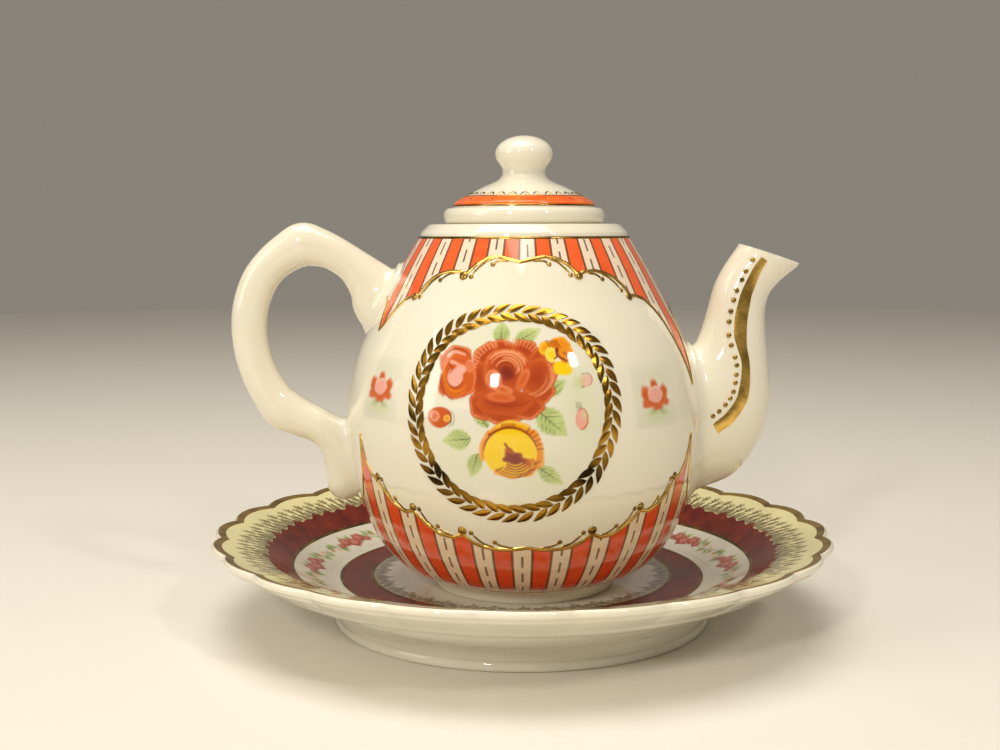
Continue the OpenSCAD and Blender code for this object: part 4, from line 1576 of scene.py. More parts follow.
@dataclass
class Medallion:
    """A gilt laurel wreath round a painted bouquet, laid on one side of the pot."""

    pot: Pot
    azimuth: float
    z: float = 38.5
    radius: float = 14.65
    leaves: int = 46
    cell: float = 0.14

    def build(self, side: str) -> None:
        """The wreath and the bouquet."""
        self.wreath(side)
        self.pot.patch(f"bouquet_{side}", 13.2, 13.2, self.cell, self.azimuth, self.z, self.bouquet)

    def wreath(self, side: str) -> None:
        """Grows the leaves flat, then lays them on the pot as a transfer is laid.

        Args:
            side: front or back.
        """
        tree = leaf_ring_tree(self.pot.finishes.wreath_gold)
        mesh = grown(f"laurel_wreath_{side}", tree, {"Count": self.leaves, "Radius": self.radius, "Seed": 7})
        flat = np.empty(len(mesh.vertices) * 3)
        mesh.vertices.foreach_get("co", flat)
        flat = flat.reshape(-1, 3)
        laid = self.pot.surface.laid(flat[:, 0], flat[:, 1], self.azimuth, self.z, flat[:, 2] + 0.02)
        mesh.vertices.foreach_set("co", (laid * MM).ravel())
        mesh.update()
        piece = bpy.data.objects.new(mesh.name, mesh)
        bpy.context.scene.collection.objects.link(piece)
        finished(piece, "teapot", "gilding")

    def bouquet(self, c: Canvas) -> None:
        """Paints the bouquet from its leaves up to its flowers.

        Args:
            c: the canvas to paint on.
        """
        for x, y, rx, ry, strength in ((-4, 9, 5, 3.5, 0.3), (9, 3, 4, 6, 0.4), (-8, -6, 4, 4, 0.35),
                                       (5, -9, 5, 3, 0.3), (0, 12, 4, 2.5, 0.3), (11, -2, 2.5, 4, 0.35)):
            c.wash(x, y, rx, ry, Paint.PALE_LEAF, strength)
        for x, y, length, width, turn in ((-1.8, 9.8, 3.6, 2.5, 86), (0.2, 10.0, 4.3, 2.4, 30),
                                          (4.6, 2.6, 3.6, 2.3, 32), (3.5, 0.4, 5.8, 3.7, -41),
                                          (-3.3, -2.2, 4.6, 2.2, 124), (-5.7, -3.8, 4.5, 3.0, 187),
                                          (-4.8, -5.8, 3.9, 2.3, -106), (3.6, -7.7, 4.6, 2.3, -36)):
            c.leaf(x, y, length, width, turn)
        self.coral_rose(c)
        self.left_rose(c)
        self.bud(c)
        self.yellow_rose(c)
        self.amber_flower(c)
        self.pink_buds(c)

    def coral_rose(self, c: Canvas) -> None:
        """The big rose in the middle: broad outer petals round a tight bowl.

        Args:
            c: the canvas to paint on.
        """
        outer = ((-1.6, 9.0, 1.9, 1.5, 5, 90), (1.7, 8.9, 1.9, 1.6, -10, 80), (-3.7, 7.7, 1.9, 2.5, -28, 130),
                 (4.0, 7.6, 1.7, 1.6, -30, 60), (-4.5, 4.6, 1.6, 2.8, 4, 180), (4.2, 5.2, 2.1, 3.2, -8, 10),
                 (-4.3, 0.9, 1.8, 2.1, 12, -140), (4.2, 2.9, 1.9, 1.7, 30, -30), (-1.2, 0.1, 3.2, 1.8, 0, -90),
                 (2.2, 0.7, 2.4, 1.7, 8, -70))
        for x, y, rx, ry, turn, rim in outer:
            c.petal(x, y, rx, ry, turn, Paint.CORAL, Paint.DEEP_CORAL, Paint.PALE_CORAL, 0.06, 5, rim, 0.22)
        for k in range(11):
            a = math.radians(108 + k * 7)
            c.stroke([(-1.0 + 4.3 * math.cos(a), 5.6 + 4.1 * math.sin(a)),
                      (-1.0 + 5.3 * math.cos(a), 5.6 + 5.1 * math.sin(a))], 0.24, Paint.PALE_CORAL, 0.85)
        for k in range(9):
            a = math.radians(48 + k * 7)
            c.stroke([(0.0 + 4.0 * math.cos(a), 5.8 + 4.0 * math.sin(a)),
                      (0.0 + 4.9 * math.cos(a), 5.8 + 4.9 * math.sin(a))], 0.22, Paint.PALE_CORAL, 0.7)
        c.petal(-1.0, 1.4, 4.3, 1.9, 2, Paint.CORAL, Paint.DEEP_CORAL, Paint.CORAL, 0.04, 4, 95, 0.22)
        c.petal(-0.9, 5.9, 3.5, 3.4, 0, Paint.CORAL, Paint.DEEP_CORAL, Paint.PALE_CORAL, 0.03, 4, 70, 0.22)
        c.petal(3.4, 5.0, 2.3, 3.0, -16, Paint.CORAL, Paint.DEEP_CORAL, Paint.PALE_CORAL, 0.03, 3, -30, 0.22)
        c.arc(2.0, 5.2, 3.7, 3.1, -75, 35, 0.42, Paint.PALE_CORAL, 0.75)
        c.arc(1.8, 5.0, 3.0, 2.5, -80, 10, 0.26, Paint.PALE_CORAL, 0.5)
        c.arc(1.9, 4.9, 3.35, 2.8, -80, 10, 0.2, Paint.CLARET, 0.4)
        for r, width, start, stop in ((2.7, 0.42, 10, 150), (2.25, 0.3, -20, 160), (1.8, 0.34, -25, 110),
                                      (1.4, 0.26, 0, 170)):
            c.arc(-0.9, 6.1, r, r * 0.95, start, stop, width, Paint.PALE_CORAL, 0.9)
            c.arc(-0.9, 6.0, r - 0.24, r * 0.95 - 0.24, start, stop, 0.18, Paint.DEEP_CORAL, 0.85)
        c.petal(-0.9, 5.7, 1.25, 1.25, 0, Paint.DEEP_CORAL, Paint.CLARET, Paint.CORAL, 0.05, 5, 90, 0.2)
        c.wash(-0.5, 5.3, 0.8, 0.7, Paint.CLARET, 0.75)
        c.petal(1.5, 4.6, 0.72, 1.75, -24, Paint.SALMON, Paint.CORAL, Paint.PALE_CORAL, 0.0, 3, 60, 0.18)
        c.arc(0.9, 4.5, 0.5, 1.6, 60, 150, 0.2, Paint.PALE_CORAL, 0.8)
        c.petal(-2.6, 4.6, 1.2, 1.5, 20, Paint.SALMON, Paint.CORAL, Paint.PALE_CORAL, 0.03, 3, 150, 0.2)
        c.petal(-1.3, 3.2, 1.5, 0.62, -14, Paint.PALE_CORAL, Paint.CORAL, Paint.ROSE_PINK, 0.0, 3, 90, 0.18)
        c.petal(-1.5, 2.1, 2.1, 0.72, -4, Paint.SALMON, Paint.CORAL, Paint.PALE_CORAL, 0.0, 3, 90, 0.2)
        c.arc(-0.6, 3.2, 4.4, 2.3, -150, -30, 0.24, Paint.CLARET, 0.45)
        c.arc(-0.2, 1.4, 5.0, 2.6, -165, -100, 0.2, Paint.CLARET, 0.5)

    def left_rose(self, c: Canvas) -> None:
        """The rose at the left, with a pink heart.

        Args:
            c: the canvas to paint on.
        """
        for x, y, rx, ry, turn, rim in ((-8.2, 2.9, 1.9, 1.3, 5, -90), (-9.9, 4.0, 0.9, 2.0, -12, 180),
                                        (-9.9, 6.6, 0.9, 1.6, 20, 180), (-6.5, 4.4, 1.4, 2.3, -5, 0),
                                        (-8.0, 8.0, 2.2, 1.5, 0, 90)):
            c.petal(x, y, rx, ry, turn, Paint.CORAL, Paint.CORAL, Paint.PALE_CORAL, 0.05, 5, rim, 0.2)
        c.petal(-8.1, 5.4, 2.2, 3.0, 0, Paint.CORAL, Paint.CORAL, Paint.AMBER, 0.02, 4, 180, 0.2)
        c.arc(-8.0, 5.3, 2.6, 3.7, 30, 150, 0.16, Paint.CLARET, 0.8)
        c.arc(-8.1, 4.8, 2.5, 3.2, 150, 262, 0.16, Paint.CLARET, 0.7)
        c.stroke([(-9.4, 7.9), (-8.4, 8.5), (-6.9, 8.1)], 0.66, Paint.ROSE_PINK, 0.95, 0.2)
        c.stroke([(-8.9, 7.0), (-7.8, 6.6), (-7.4, 5.9)], 0.62, Paint.ROSE_PINK, 0.9, 0.2)
        c.petal(-6.1, 6.4, 0.75, 0.95, 0, Paint.SALMON, Paint.SALMON, Paint.ROSE_PINK, 0.03, 3, 60, 0.2)
        c.petal(-8.3, 4.7, 1.2, 1.35, -8, Paint.ROSE_PINK, Paint.ROSE_PINK, Paint.PALE_CORAL, 0.03, 3, 90, 0.18)
        c.petal(-7.5, 5.9, 0.9, 0.75, 30, Paint.ROSE_PINK, Paint.ROSE_PINK, Paint.SALMON, 0.03, 3, 90, 0.18)
        c.arc(-8.3, 4.7, 1.25, 1.4, 200, 340, 0.22, Paint.RUST, 0.8)
        c.arc(-8.2, 4.5, 1.8, 1.8, -160, -20, 0.26, Paint.AMBER, 0.75)
        c.arc(-8.2, 4.0, 1.9, 1.8, -150, -30, 0.22, Paint.AMBER, 0.6)
        c.stroke([(-9.2, 6.6), (-8.7, 5.9), (-9.2, 5.3)], 0.24, Paint.CLARET, 0.7)

    def bud(self, c: Canvas) -> None:
        """The coral bud at the far left, with its sepals.

        Args:
            c: the canvas to paint on.
        """
        for x, bend in ((-8.7, 0.35), (-8.3, 0.25)):
            c.arc(x - 0.9, -1.1, 0.9, 1.0 + bend, -60, 60, 0.16, Paint.VEIN, 0.8)
        c.petal(-10.6, -1.0, 1.9, 1.5, 6, Paint.CORAL, Paint.CORAL, Paint.PALE_CORAL, 0.03, 3, 200, 0.2)
        c.petal(-11.4, -0.9, 0.85, 0.8, 20, Paint.ROSE_PINK, Paint.SALMON, Paint.ROSE_PINK, 0.0, 3, 90, 0.2)
        c.petal(-9.4, -1.1, 0.6, 0.5, 10, Paint.CREAM, Paint.AMBER, Paint.CREAM, 0.0, 3, 0, 0.18)
        c.arc(-9.5, -1.1, 0.75, 0.8, -80, 80, 0.16, Paint.RUST, 0.8)
        c.arc(-10.4, -1.0, 1.6, 1.25, -150, 20, 0.2, Paint.DEEP_CORAL, 0.6)

    def yellow_rose(self, c: Canvas) -> None:
        """The yellow rose below, half open over its rust-coloured heart.

        Args:
            c: the canvas to paint on.
        """
        for x, y, rx, ry, turn, rim, ground in ((0.0, -2.4, 2.6, 1.3, 0, 90, Paint.YOLK),
                                                (3.5, -5.3, 1.0, 2.6, 10, 0, Paint.AMBER),
                                                (-3.6, -4.8, 0.9, 2.2, -14, 180, Paint.AMBER),
                                                (-2.6, -3.1, 1.2, 0.8, 35, 120, Paint.AMBER),
                                                (2.8, -3.2, 1.3, 0.9, -30, 60, Paint.AMBER)):
            c.petal(x, y, rx, ry, turn, ground, Paint.AMBER, Paint.CREAM, 0.05, 5, rim, 0.2)
        c.stroke([(-3.1, -3.2), (-2.2, -2.9)], 0.5, Paint.RUST, 0.85)
        c.petal(-0.2, -5.7, 3.75, 3.55, 0, Paint.YOLK, Paint.YOLK, Paint.YOLK, 0.0, 3, 90, 0.16)
        c.arc(-0.2, -5.7, 3.75, 3.6, 12, 178, 0.34, Paint.RUST, 0.95)
        for k in range(7):
            c.stroke([(-1.4 + k * 0.3, -2.1), (-1.3 + k * 0.28, -1.55)], 0.16, Paint.RUST, 0.8)
        for k in range(6):
            a = math.radians(8 + k * 9)
            c.stroke([(-0.2 + 3.8 * math.cos(a), -5.7 + 3.7 * math.sin(a)),
                      (-0.2 + 4.7 * math.cos(a), -5.7 + 4.6 * math.sin(a))], 0.18, Paint.RUST, 0.75)
        c.petal(0.6, -7.9, 3.1, 1.5, 4, Paint.AMBER, Paint.AMBER, Paint.YOLK, 0.06, 7, -90, 0.2)
        c.petal(0.5, -7.0, 2.9, 2.0, -6, Paint.AMBER, Paint.RUST, Paint.YOLK, 0.06, 6, -90, 0.22)
        c.petal(-1.9, -6.3, 1.15, 2.1, 16, Paint.YOLK, Paint.YOLK, Paint.CREAM, 0.03, 3, 20, 0.2)
        c.petal(1.6, -5.0, 2.0, 1.15, -38, Paint.YOLK, Paint.YOLK, Paint.CREAM, 0.03, 3, -120, 0.2)
        c.petal(0.3, -6.5, 1.5, 0.95, -10, Paint.RUST, Paint.CLARET, Paint.AMBER, 0.14, 5, 90, 0.22)
        c.stroke([(-0.9, -4.4), (-0.5, -5.3), (-0.7, -6.2)], 0.3, Paint.RUST, 0.95)
        c.stroke([(-0.9, -4.4), (0.2, -5.6), (1.5, -6.0)], 0.26, Paint.RUST, 0.9)
        for k, r in enumerate((1.0, 1.45, 1.9, 2.35, 2.8)):
            c.arc(0.5, -6.6, r * 1.12, r * 0.88, -160 + k * 6, -25 - k * 5, 0.24, Paint.YOLK, 0.9)
            c.arc(0.5, -6.75, r * 1.12, r * 0.88, -150, -45 + k * 4, 0.17, Paint.RUST, 0.9)
        for x, y in ((2.2, -8.8), (2.9, -8.2), (-1.7, -8.2), (1.2, -9.1), (3.6, -7.2)):
            c.stroke([(x - 0.4, y - 0.1), (x + 0.3, y + 0.3)], 0.2, Paint.RUST, 0.85)

    def amber_flower(self, c: Canvas) -> None:
        """The small amber flower at the upper right.

        Args:
            c: the canvas to paint on.
        """
        c.petal(7.1, 6.2, 1.45, 1.05, -12, Paint.YOLK, Paint.YOLK, Paint.YOLK, 0.05, 4, -90, 0.2)
        c.petal(4.7, 9.2, 1.1, 1.1, 20, Paint.YOLK, Paint.AMBER, Paint.CREAM, 0.05, 4, 160, 0.2)
        c.petal(6.7, 9.6, 1.5, 1.25, -20, Paint.AMBER, Paint.AMBER, Paint.YOLK, 0.05, 5, 60, 0.2)
        c.petal(7.6, 8.2, 1.1, 1.3, -10, Paint.AMBER, Paint.AMBER, Paint.YOLK, 0.05, 4, 0, 0.2)
        c.petal(5.4, 8.2, 0.85, 1.2, 15, Paint.CREAM, Paint.YOLK, Paint.CREAM, 0.0, 3, 90, 0.18)
        c.stroke([(6.2, 9.0), (6.4, 8.0), (7.7, 7.2)], 0.5, Paint.CLARET, 0.95)
        c.stroke([(6.4, 8.0), (5.9, 7.6)], 0.3, Paint.RUST, 0.9)
        c.stroke([(7.2, 8.5), (7.9, 7.9)], 0.22, Paint.RUST, 0.85)
        for k in range(5):
            c.stroke([(4.6 + k * 0.36, 10.3), (5.2 + k * 0.38, 9.3)], 0.18, Paint.RUST, 0.85)

    def pink_buds(self, c: Canvas) -> None:
        """The two pink buds at the right.

        Args:
            c: the canvas to paint on.
        """
        c.petal(10.5, 4.4, 0.95, 1.0, -15, Paint.ROSE_PINK, Paint.ROSE_PINK, Paint.IVORY, 0.05, 3, 90, 0.25, 0.7)
        c.wash(9.4, 4.1, 0.8, 0.9, Paint.LEAF, 0.6)
        c.arc(10.5, 4.4, 0.95, 0.95, -70, 80, 0.2, Paint.DUSTY_ROSE, 0.75)
        c.stroke([(9.9, 5.3), (10.8, 5.4)], 0.22, Paint.SAGE, 0.7)
        c.stroke([(9.9, 3.4), (10.3, 3.5)], 0.2, Paint.VEIN, 0.6)
        c.petal(9.9, -1.1, 0.9, 1.4, 0, Paint.ROSE_PINK, Paint.ROSE_PINK, Paint.PALE_CORAL, 0.0, 3, 180, 0.2)
        c.petal(10.3, -0.5, 0.4, 0.6, 0, Paint.LEAF, Paint.PALE_LEAF, Paint.PALE_LEAF, 0.0, 3, 180, 0.2, 0.7)
        c.arc(9.9, -1.1, 0.95, 1.4, -100, 60, 0.26, Paint.CORAL, 0.85)
        c.arc(9.9, -0.3, 0.7, 0.7, 20, 160, 0.2, Paint.DUSTY_ROSE, 0.8)
        for x in (9.2, 9.5, 9.8):
            c.stroke([(x, 0.5), (x - 0.05, 1.3)], 0.16, Paint.VEIN, 0.6)


@dataclass
class Lid:
    """The lid: dome, rounded rim, locating ring and knob, with its orange band."""

    finishes: Finishes
    shape: tuple = ((1, 0), (0.81, 0.205), (0.568, 0.411), (0.347, 0.589), (0.114, 0.75), (0.02, 0.88), (0, 1))
    neck_r: float = 3.4
    rim_t: float = 2.5
    ring_t: float = 1.2
    wall: float = 1.7

    def __post_init__(self) -> None:
        """Takes the lid's place and sizes from the CAD nodes."""
        low, high = size_of("lid_dome")
        self.axis = ((low[0] + high[0]) / 2, (low[1] + high[1]) / 2)
        self.lid_r = (high[0] - low[0]) / 2
        self.seat_z, self.neck_z = low[2], high[2]
        knob_low, knob_high = size_of("lid_knob")
        self.knob_r = (knob_high[0] - knob_low[0]) / 2
        self.top_z = knob_high[2]
        ring_low, ring_high = size_of("lid_locating_ring")
        self.ring_r = (ring_high[0] - ring_low[0]) / 2
        self.ring_z = ring_low[2]
        self.hollow_r = self.ring_r - self.ring_t

    def build(self) -> None:
        """Makes every piece that rides with the lid."""
        rim_z = self.seat_z + self.rim_t
        rise = self.neck_z - rim_z
        shoulder = self.lid_r - 0.5
        angles = np.radians(np.linspace(-90, 90, 13))
        rim = np.stack([shoulder - 0.35 + 0.85 * np.cos(angles),
                        self.seat_z + self.rim_t / 2 + self.rim_t / 2 * np.sin(angles)], 1)
        groove = np.array([[shoulder - 0.75, rim_z - 0.12], [shoulder - 1.05, rim_z + 0.12]])
        curve = spline(np.array(self.shape), 8)
        curve = np.stack([self.neck_r + curve[:, 0] * (shoulder - self.neck_r), rim_z + curve[:, 1] * rise], 1)
        curve = curve[curve[:, 0] < shoulder - 1.1]
        roof = np.array([
            [0, rim_z + rise * 0.65 - self.wall], [self.hollow_r * 0.45, rim_z + rise * 0.55 - self.wall],
            [self.hollow_r * 0.75, rim_z + rise * 0.3 - self.wall], [self.hollow_r, rim_z - 1.0]])
        section = np.concatenate([[[self.hollow_r, self.seat_z]], rim, groove, curve, [[0, self.neck_z]], roof])
        dome = turned("lid_dome_ware", section, self.axis, self.finishes.glaze, 160)
        finished(dome, "lid", "porcelain", "lid_dome")

        r, z = self.ring_r, self.ring_z
        ring = np.array([[self.hollow_r, z + 0.2], [self.hollow_r + 0.2, z], [r - 0.2, z], [r, z + 0.2],
                         [r, self.seat_z], [self.hollow_r, self.seat_z]])
        locating = turned("lid_locating_ware", ring, self.axis, self.finishes.glaze, 128)
        finished(locating, "lid", "porcelain", "lid_locating_ring")

        height = self.top_z - self.neck_z
        ball_h = height * 0.51
        ball_z = self.top_z - ball_h
        start = -math.acos(self.neck_r / self.knob_r) + 0.12
        ball_angles = np.linspace(start, math.pi / 2, 28)
        ball = np.stack([self.knob_r * np.cos(ball_angles), ball_z + ball_h * np.sin(ball_angles)], 1)
        neck = spline(np.array([[self.neck_r, self.neck_z], [self.neck_r + 0.02, self.neck_z + 0.5], ball[1]]), 4)
        knob_section = np.concatenate([[[0, self.neck_z]], neck[:-1], ball[1:]])
        knob_section[-1, 0] = 0
        knob = turned("lid_knob_ware", knob_section, self.axis, self.finishes.glaze, 96)
        finished(knob, "lid", "porcelain", "lid_knob")
        self.decorate(np.concatenate([groove[1:], curve]))

    def decorate(self, curve: np.ndarray) -> None:
        """The orange band with its brown edges, and the small scrolls and ticks above it.

        Args:
            curve: the dome's outline as [radius, height] rows.
        """
        surface = Lathe(curve, self.axis)
        azimuth = np.linspace(-180, 180, 241)[:-1]
        lengths = np.linspace(0.25, surface.length_at(self.seat_z + self.rim_t + 1.78), 10)[:, None]
        top = surface.at(azimuth + 0 * lengths, lengths, 0.03)
        under = surface.at(azimuth + 0 * lengths, lengths, -0.06)
        band = sheet_solid("lid_orange_band", top, under, self.finishes.orange, closed=True)
        finished(band, "lid", "vermilion_enamel", "lid_enamel_band")
        lines = []
        around = np.linspace(-180, 180, 361)
        for length, width in ((float(lengths[0, 0]), 0.34), (float(lengths[-1, 0]), 0.26)):
            path = np.stack([around, np.full(361, length)], 1)
            lines.append(raised_line("edge", surface, path, width, 0.07, self.finishes.dark_gold))
        top_line = float(lengths[-1, 0])
        for k in range(30):
            middle = k * 12
            swing = np.linspace(-4.9, 4.9, 11)
            arch = np.stack([middle + swing, top_line + 0.12 + 1.05 * np.cos(np.radians(swing * 18))], 1)
            lines.append(raised_line("arch", surface, arch, 0.26, 0.07, self.finishes.dark_gold, 6))
            tick = np.stack([middle + np.array([0, 0.8, 0.2]), top_line + np.array([0.15, 0.4, 0.75])], 1)
            lines.append(raised_line("tick", surface, tick, 0.26, 0.07, self.finishes.dark_gold, 6))
            if k % 2:
                curl = np.radians(np.linspace(-70, 190, 9))
                path = np.stack([middle + 6 + 2.4 * np.cos(curl), top_line / 2 + 0.1 + 0.34 * np.sin(curl)], 1)
                lines.append(raised_line("curl", surface, path, 0.24, 0.06, self.finishes.dark_gold, 6))
        finished(join("lid_scroll_lines", lines), "lid", "gilding")


@dataclass
class Saucer:
    """The scalloped saucer: its glazed dish and foot, enamel bands, painted borders and gilding."""

    finishes: Finishes
    scallops: int = 24
    depth: float = 1.15
    rim_t: float = 1.25
    wall_w: float = 12.0

    def __post_init__(self) -> None:
        """Takes the saucer's sizes from the CAD nodes."""
        low, high = size_of("saucer_dish")
        self.rim_r, self.rim_z = (high[0] - low[0]) / 2, high[2]
        band_low, band_high = size_of("saucer_outer_band")
        self.flange_r = (band_high[0] - band_low[0]) / 2
        self.well_z = size_of("saucer_inner_band")[0][2]
        self.flange_z = band_high[2] - 0.12
        self.well_r = self.flange_r - self.wall_w
        foot_low, foot_high = size_of("saucer_foot_ring")
        self.foot_r, self.foot_h = (foot_high[0] - foot_low[0]) / 2, foot_high[2]

    def top(self, r: np.ndarray) -> np.ndarray:
        """Height of the upper surface at a radius.

        Args:
            r: distance from the saucer's axis.

        Returns:
            The heights.
        """
        wall = self.well_z + (self.flange_z - self.well_z) * np.clip((r - self.well_r) / self.wall_w, 0, 1) ** 1.6
        slope = (self.rim_z - self.flange_z) / (self.rim_r - self.flange_r)
        return np.where(r > self.flange_r, self.flange_z + slope * (r - self.flange_r), wall)

    def edge(self, azimuth: np.ndarray, inset: float = 0.0) -> np.ndarray:
        """Radius of the scalloped outline at an azimuth in degrees, drawn in by inset.

        Args:
            azimuth: turn from the front, in degrees.
            inset: how far it is drawn in.

        Returns:
            The radii.
        """
        r = self.rim_r - inset
        half = math.radians(180 / self.scallops)
        notch = r - self.depth
        gap = notch * math.cos(half) - r
        lobe = -(gap ** 2 + (notch * math.sin(half)) ** 2) / (2 * gap)
        off = np.radians((azimuth + 180 / self.scallops) % (360 / self.scallops) - 180 / self.scallops)
        centre = r - lobe
        return centre * np.cos(off) + np.sqrt(lobe ** 2 - (centre * np.sin(off)) ** 2)

    def build(self) -> None:
        """Makes every piece that rides with the saucer."""
        self.make_dish()
        self.make_bands()
        self.make_painting()
        self.make_rim()

    def make_dish(self) -> None:
        """The dish and its foot, in one glazed piece with a rounded lip that follows the scallops."""
        inner = np.concatenate([[0, 12, 20, 26], np.linspace(self.well_r - 1, self.flange_r + 1, 30)])
        lip = self.rim_t / 2
        rise = np.array([(r, self.top(r)) for r in inner])
        out = np.linspace(self.flange_r + 1.6, self.rim_r - lip, 9)
        flange = np.array([(r, self.top(r)) for r in out])
        arc = np.radians(np.linspace(72, -80, 9))
        centre_z = self.top(self.rim_r) - lip
        round_lip = np.stack([self.rim_r - lip + lip * np.cos(arc), centre_z + lip * np.sin(arc) * 0.98], 1)
        under_r = np.linspace(self.rim_r - lip - 0.3, self.foot_r + 0.9, 22)
        share = (under_r - self.foot_r) / (self.rim_r - self.foot_r)
        under_z = self.foot_h + (self.rim_z - self.rim_t - self.foot_h) * share ** 1.12
        under_z -= 0.22 * np.exp(-((under_r - self.flange_r - 1) / 0.7) ** 2)
        under = np.stack([under_r, under_z], 1)
        h, r = self.foot_h, self.foot_r
        foot = np.array([[r + 0.35, h + 0.05], [r + 0.08, h - 0.3], [r, h - 0.7], [r, 0.42 * h + 0.28],
                         [r - 0.28, 0.42 * h], [r, 0.42 * h - 0.28], [r, 0.45], [r - 0.15, 0.12], [r - 0.45, 0],
                         [r - 1.95, 0], [r - 2.25, 0.12], [r - 2.4, 0.45], [r - 2.4, h - 0.5],
                         [r - 2.9, h], [0, h]])
        section = np.concatenate([rise, flange, round_lip, under, foot])
        azimuth = np.linspace(0, 360, 480, endpoint=False)
        angle = np.radians(azimuth)
        radius = section[:, 0, None]
        start = self.flange_r - 1.0
        pull = np.clip((radius - start) / (self.rim_r - start), 0, 1.2) ** 1.4
        moved = radius + pull * (self.edge(azimuth) - self.rim_r)
        height = section[:, 1, None] + self.top(moved) - self.top(radius)
        points = np.stack([moved * np.sin(angle), -moved * np.cos(angle), height], -1)
        faces, _ = grid_faces(len(section), len(azimuth), True, True)
        dish = new_piece("saucer_ware", points.reshape(-1, 3), faces, self.finishes.glaze, crease_deg=60)
        finished(dish, "saucer", "porcelain", "saucer_dish", "saucer_foot_ring")

    def ring(self, name: str, inner: np.ndarray | float, outer: np.ndarray | float,
             material: bpy.types.Material, rows: int, cols: int, lift: float = 0.03,
             canvas: Callable[[np.ndarray, np.ndarray], np.ndarray] | None = None) -> bpy.types.Object:
        """A flat ring on the upper surface between two radii, which may vary round it.

        Args:
            name: the piece's name.
            inner: its inner radius.
            outer: its outer radius.
            material: the finish.
            rows: points down the grid.
            cols: points across it.
            lift: height over the surface.
            canvas: paints the ring, given radii and azimuths.

        Returns:
            The linked object.
        """
        azimuth = np.linspace(0, 360, cols, endpoint=False)
        share = np.linspace(0, 1, rows)[:, None]
        r = inner + (outer - inner) * share + 0 * azimuth
        angle = np.radians(azimuth)

        def lifted(height: float) -> np.ndarray:
            """The ring's grid at a height over the glaze."""
            return np.stack([r * np.sin(angle), -r * np.cos(angle), self.top(r) + height], -1)

        paint = None if canvas is None else canvas(r, azimuth)
        return sheet_solid(name, lifted(lift), lifted(-0.05), material, closed=True, paint=paint)

    def make_bands(self) -> None:
        """The maroon bands, the outer one with a saw edge, and the gilt lines beside them."""
        f = self.finishes
        azimuth = np.linspace(0, 360, 960, endpoint=False)
        tooth = (azimuth * 84 / 360) % 1
        tall = 0.6 + 0.4 * np.sin(np.floor(azimuth * 84 / 360) * 2.4)
        saw = 1.35 * tall * (1 - np.abs(tooth - 0.5) * 2) ** 1.2
        inner_r = self.well_r - 0.4
        outer = self.ring("saucer_outer_band_enamel", self.flange_r - 4.1, self.flange_r - 0.6 + saw,
                          f.maroon, 10, 960, 0.05)
        finished(outer, "saucer", "maroon_enamel", "saucer_outer_band")
        inner = self.ring("saucer_inner_band_enamel", inner_r - 4.7, inner_r, f.maroon, 5, 240)
        finished(inner, "saucer", "maroon_enamel", "saucer_inner_band")
        lines = [self.ring("line", r - 0.22, r + 0.22, f.dark_gold, 3, 240, 0.07)
                 for r in (inner_r - 4.95, inner_r + 0.2, self.flange_r - 4.35)]
        finished(join("saucer_gilding_lines", lines), "saucer", "gilding", "saucer_gilt_lines")

    def make_painting(self) -> None:
        """The straw flange with its ochre sprays, the rose garland and the gilt spray in the well."""
        azimuth = np.linspace(0, 360, 1440, endpoint=False)
        flange = self.ring("saucer_straw_border", self.flange_r - 0.6, self.edge(azimuth, 0.75),
                           self.finishes.painted, 36, 1440, 0.02, self.paint_flange)
        finished(flange, "saucer", "porcelain")
        garland = self.ring("saucer_rose_garland", self.well_r + 1.4, self.flange_r - 4.7,
                            self.finishes.painted, 24, 960, 0.03, self.paint_garland)
        finished(garland, "saucer", "porcelain")
        spray = self.ring("saucer_well_spray", self.well_r - 10.3, self.well_r - 5.45,
                          self.finishes.painted, 22, 720, 0.03, self.paint_spray)
        finished(spray, "saucer", "porcelain")

    def paint_flange(self, r: np.ndarray, azimuth: np.ndarray) -> np.ndarray:
        """Straw yellow all round, with olive strokes and little sprigs that grow out of the maroon band.

        Args:
            r: radii of the grid's points.
            azimuth: azimuths of its columns.

        Returns:
            RGBA at each point.
        """
        period = 360 / self.scallops
        turn = (azimuth + period / 2) % period - period / 2
        c = Canvas(np.radians(turn) * (self.flange_r + 2.5) + 0 * r, r - self.flange_r)
        c.lay(np.full(r.shape, 0.95), Paint.STRAW.rgb)
        rng = np.random.default_rng(5)
        for x in np.arange(-5.7, 5.7, 0.52):
            tall = 0.9 + rng.random() * 1.3
            lean = (rng.random() - 0.5) * 0.5
            c.stroke([(x, -0.2), (x + lean, tall)], 0.4, Paint.OLIVE, 0.95, 0.18)
        for x, tall in ((-4.7, 3.6), (-3.1, 2.8), (-1.5, 3.9), (0.1, 3.0), (1.7, 3.8), (3.2, 2.9), (4.8, 3.7)):
            c.stroke([(x, 1.2), (x + 0.1, tall)], 0.36, Paint.OLIVE, 0.9, 0.18)
            for step in (0.0, 0.75):
                for way in (-1, 1):
                    c.stroke([(x, tall - 0.4 - step), (x + 0.55 * way, tall + 0.25 - step)], 0.34, Paint.OLIVE,
                             0.75, 0.2)
            c.wash(x + 0.1, tall + 0.5, 0.22, 0.3, Paint.OLIVE, 0.8)
        for _ in range(26):
            x, y = rng.uniform(-5.8, 5.8), rng.uniform(0.6, 3.6)
            c.stroke([(x, y), (x + rng.uniform(-0.2, 0.2), y + 0.5)], 0.26, Paint.OCHRE, 0.6, 0.2)
        return c.rgba()

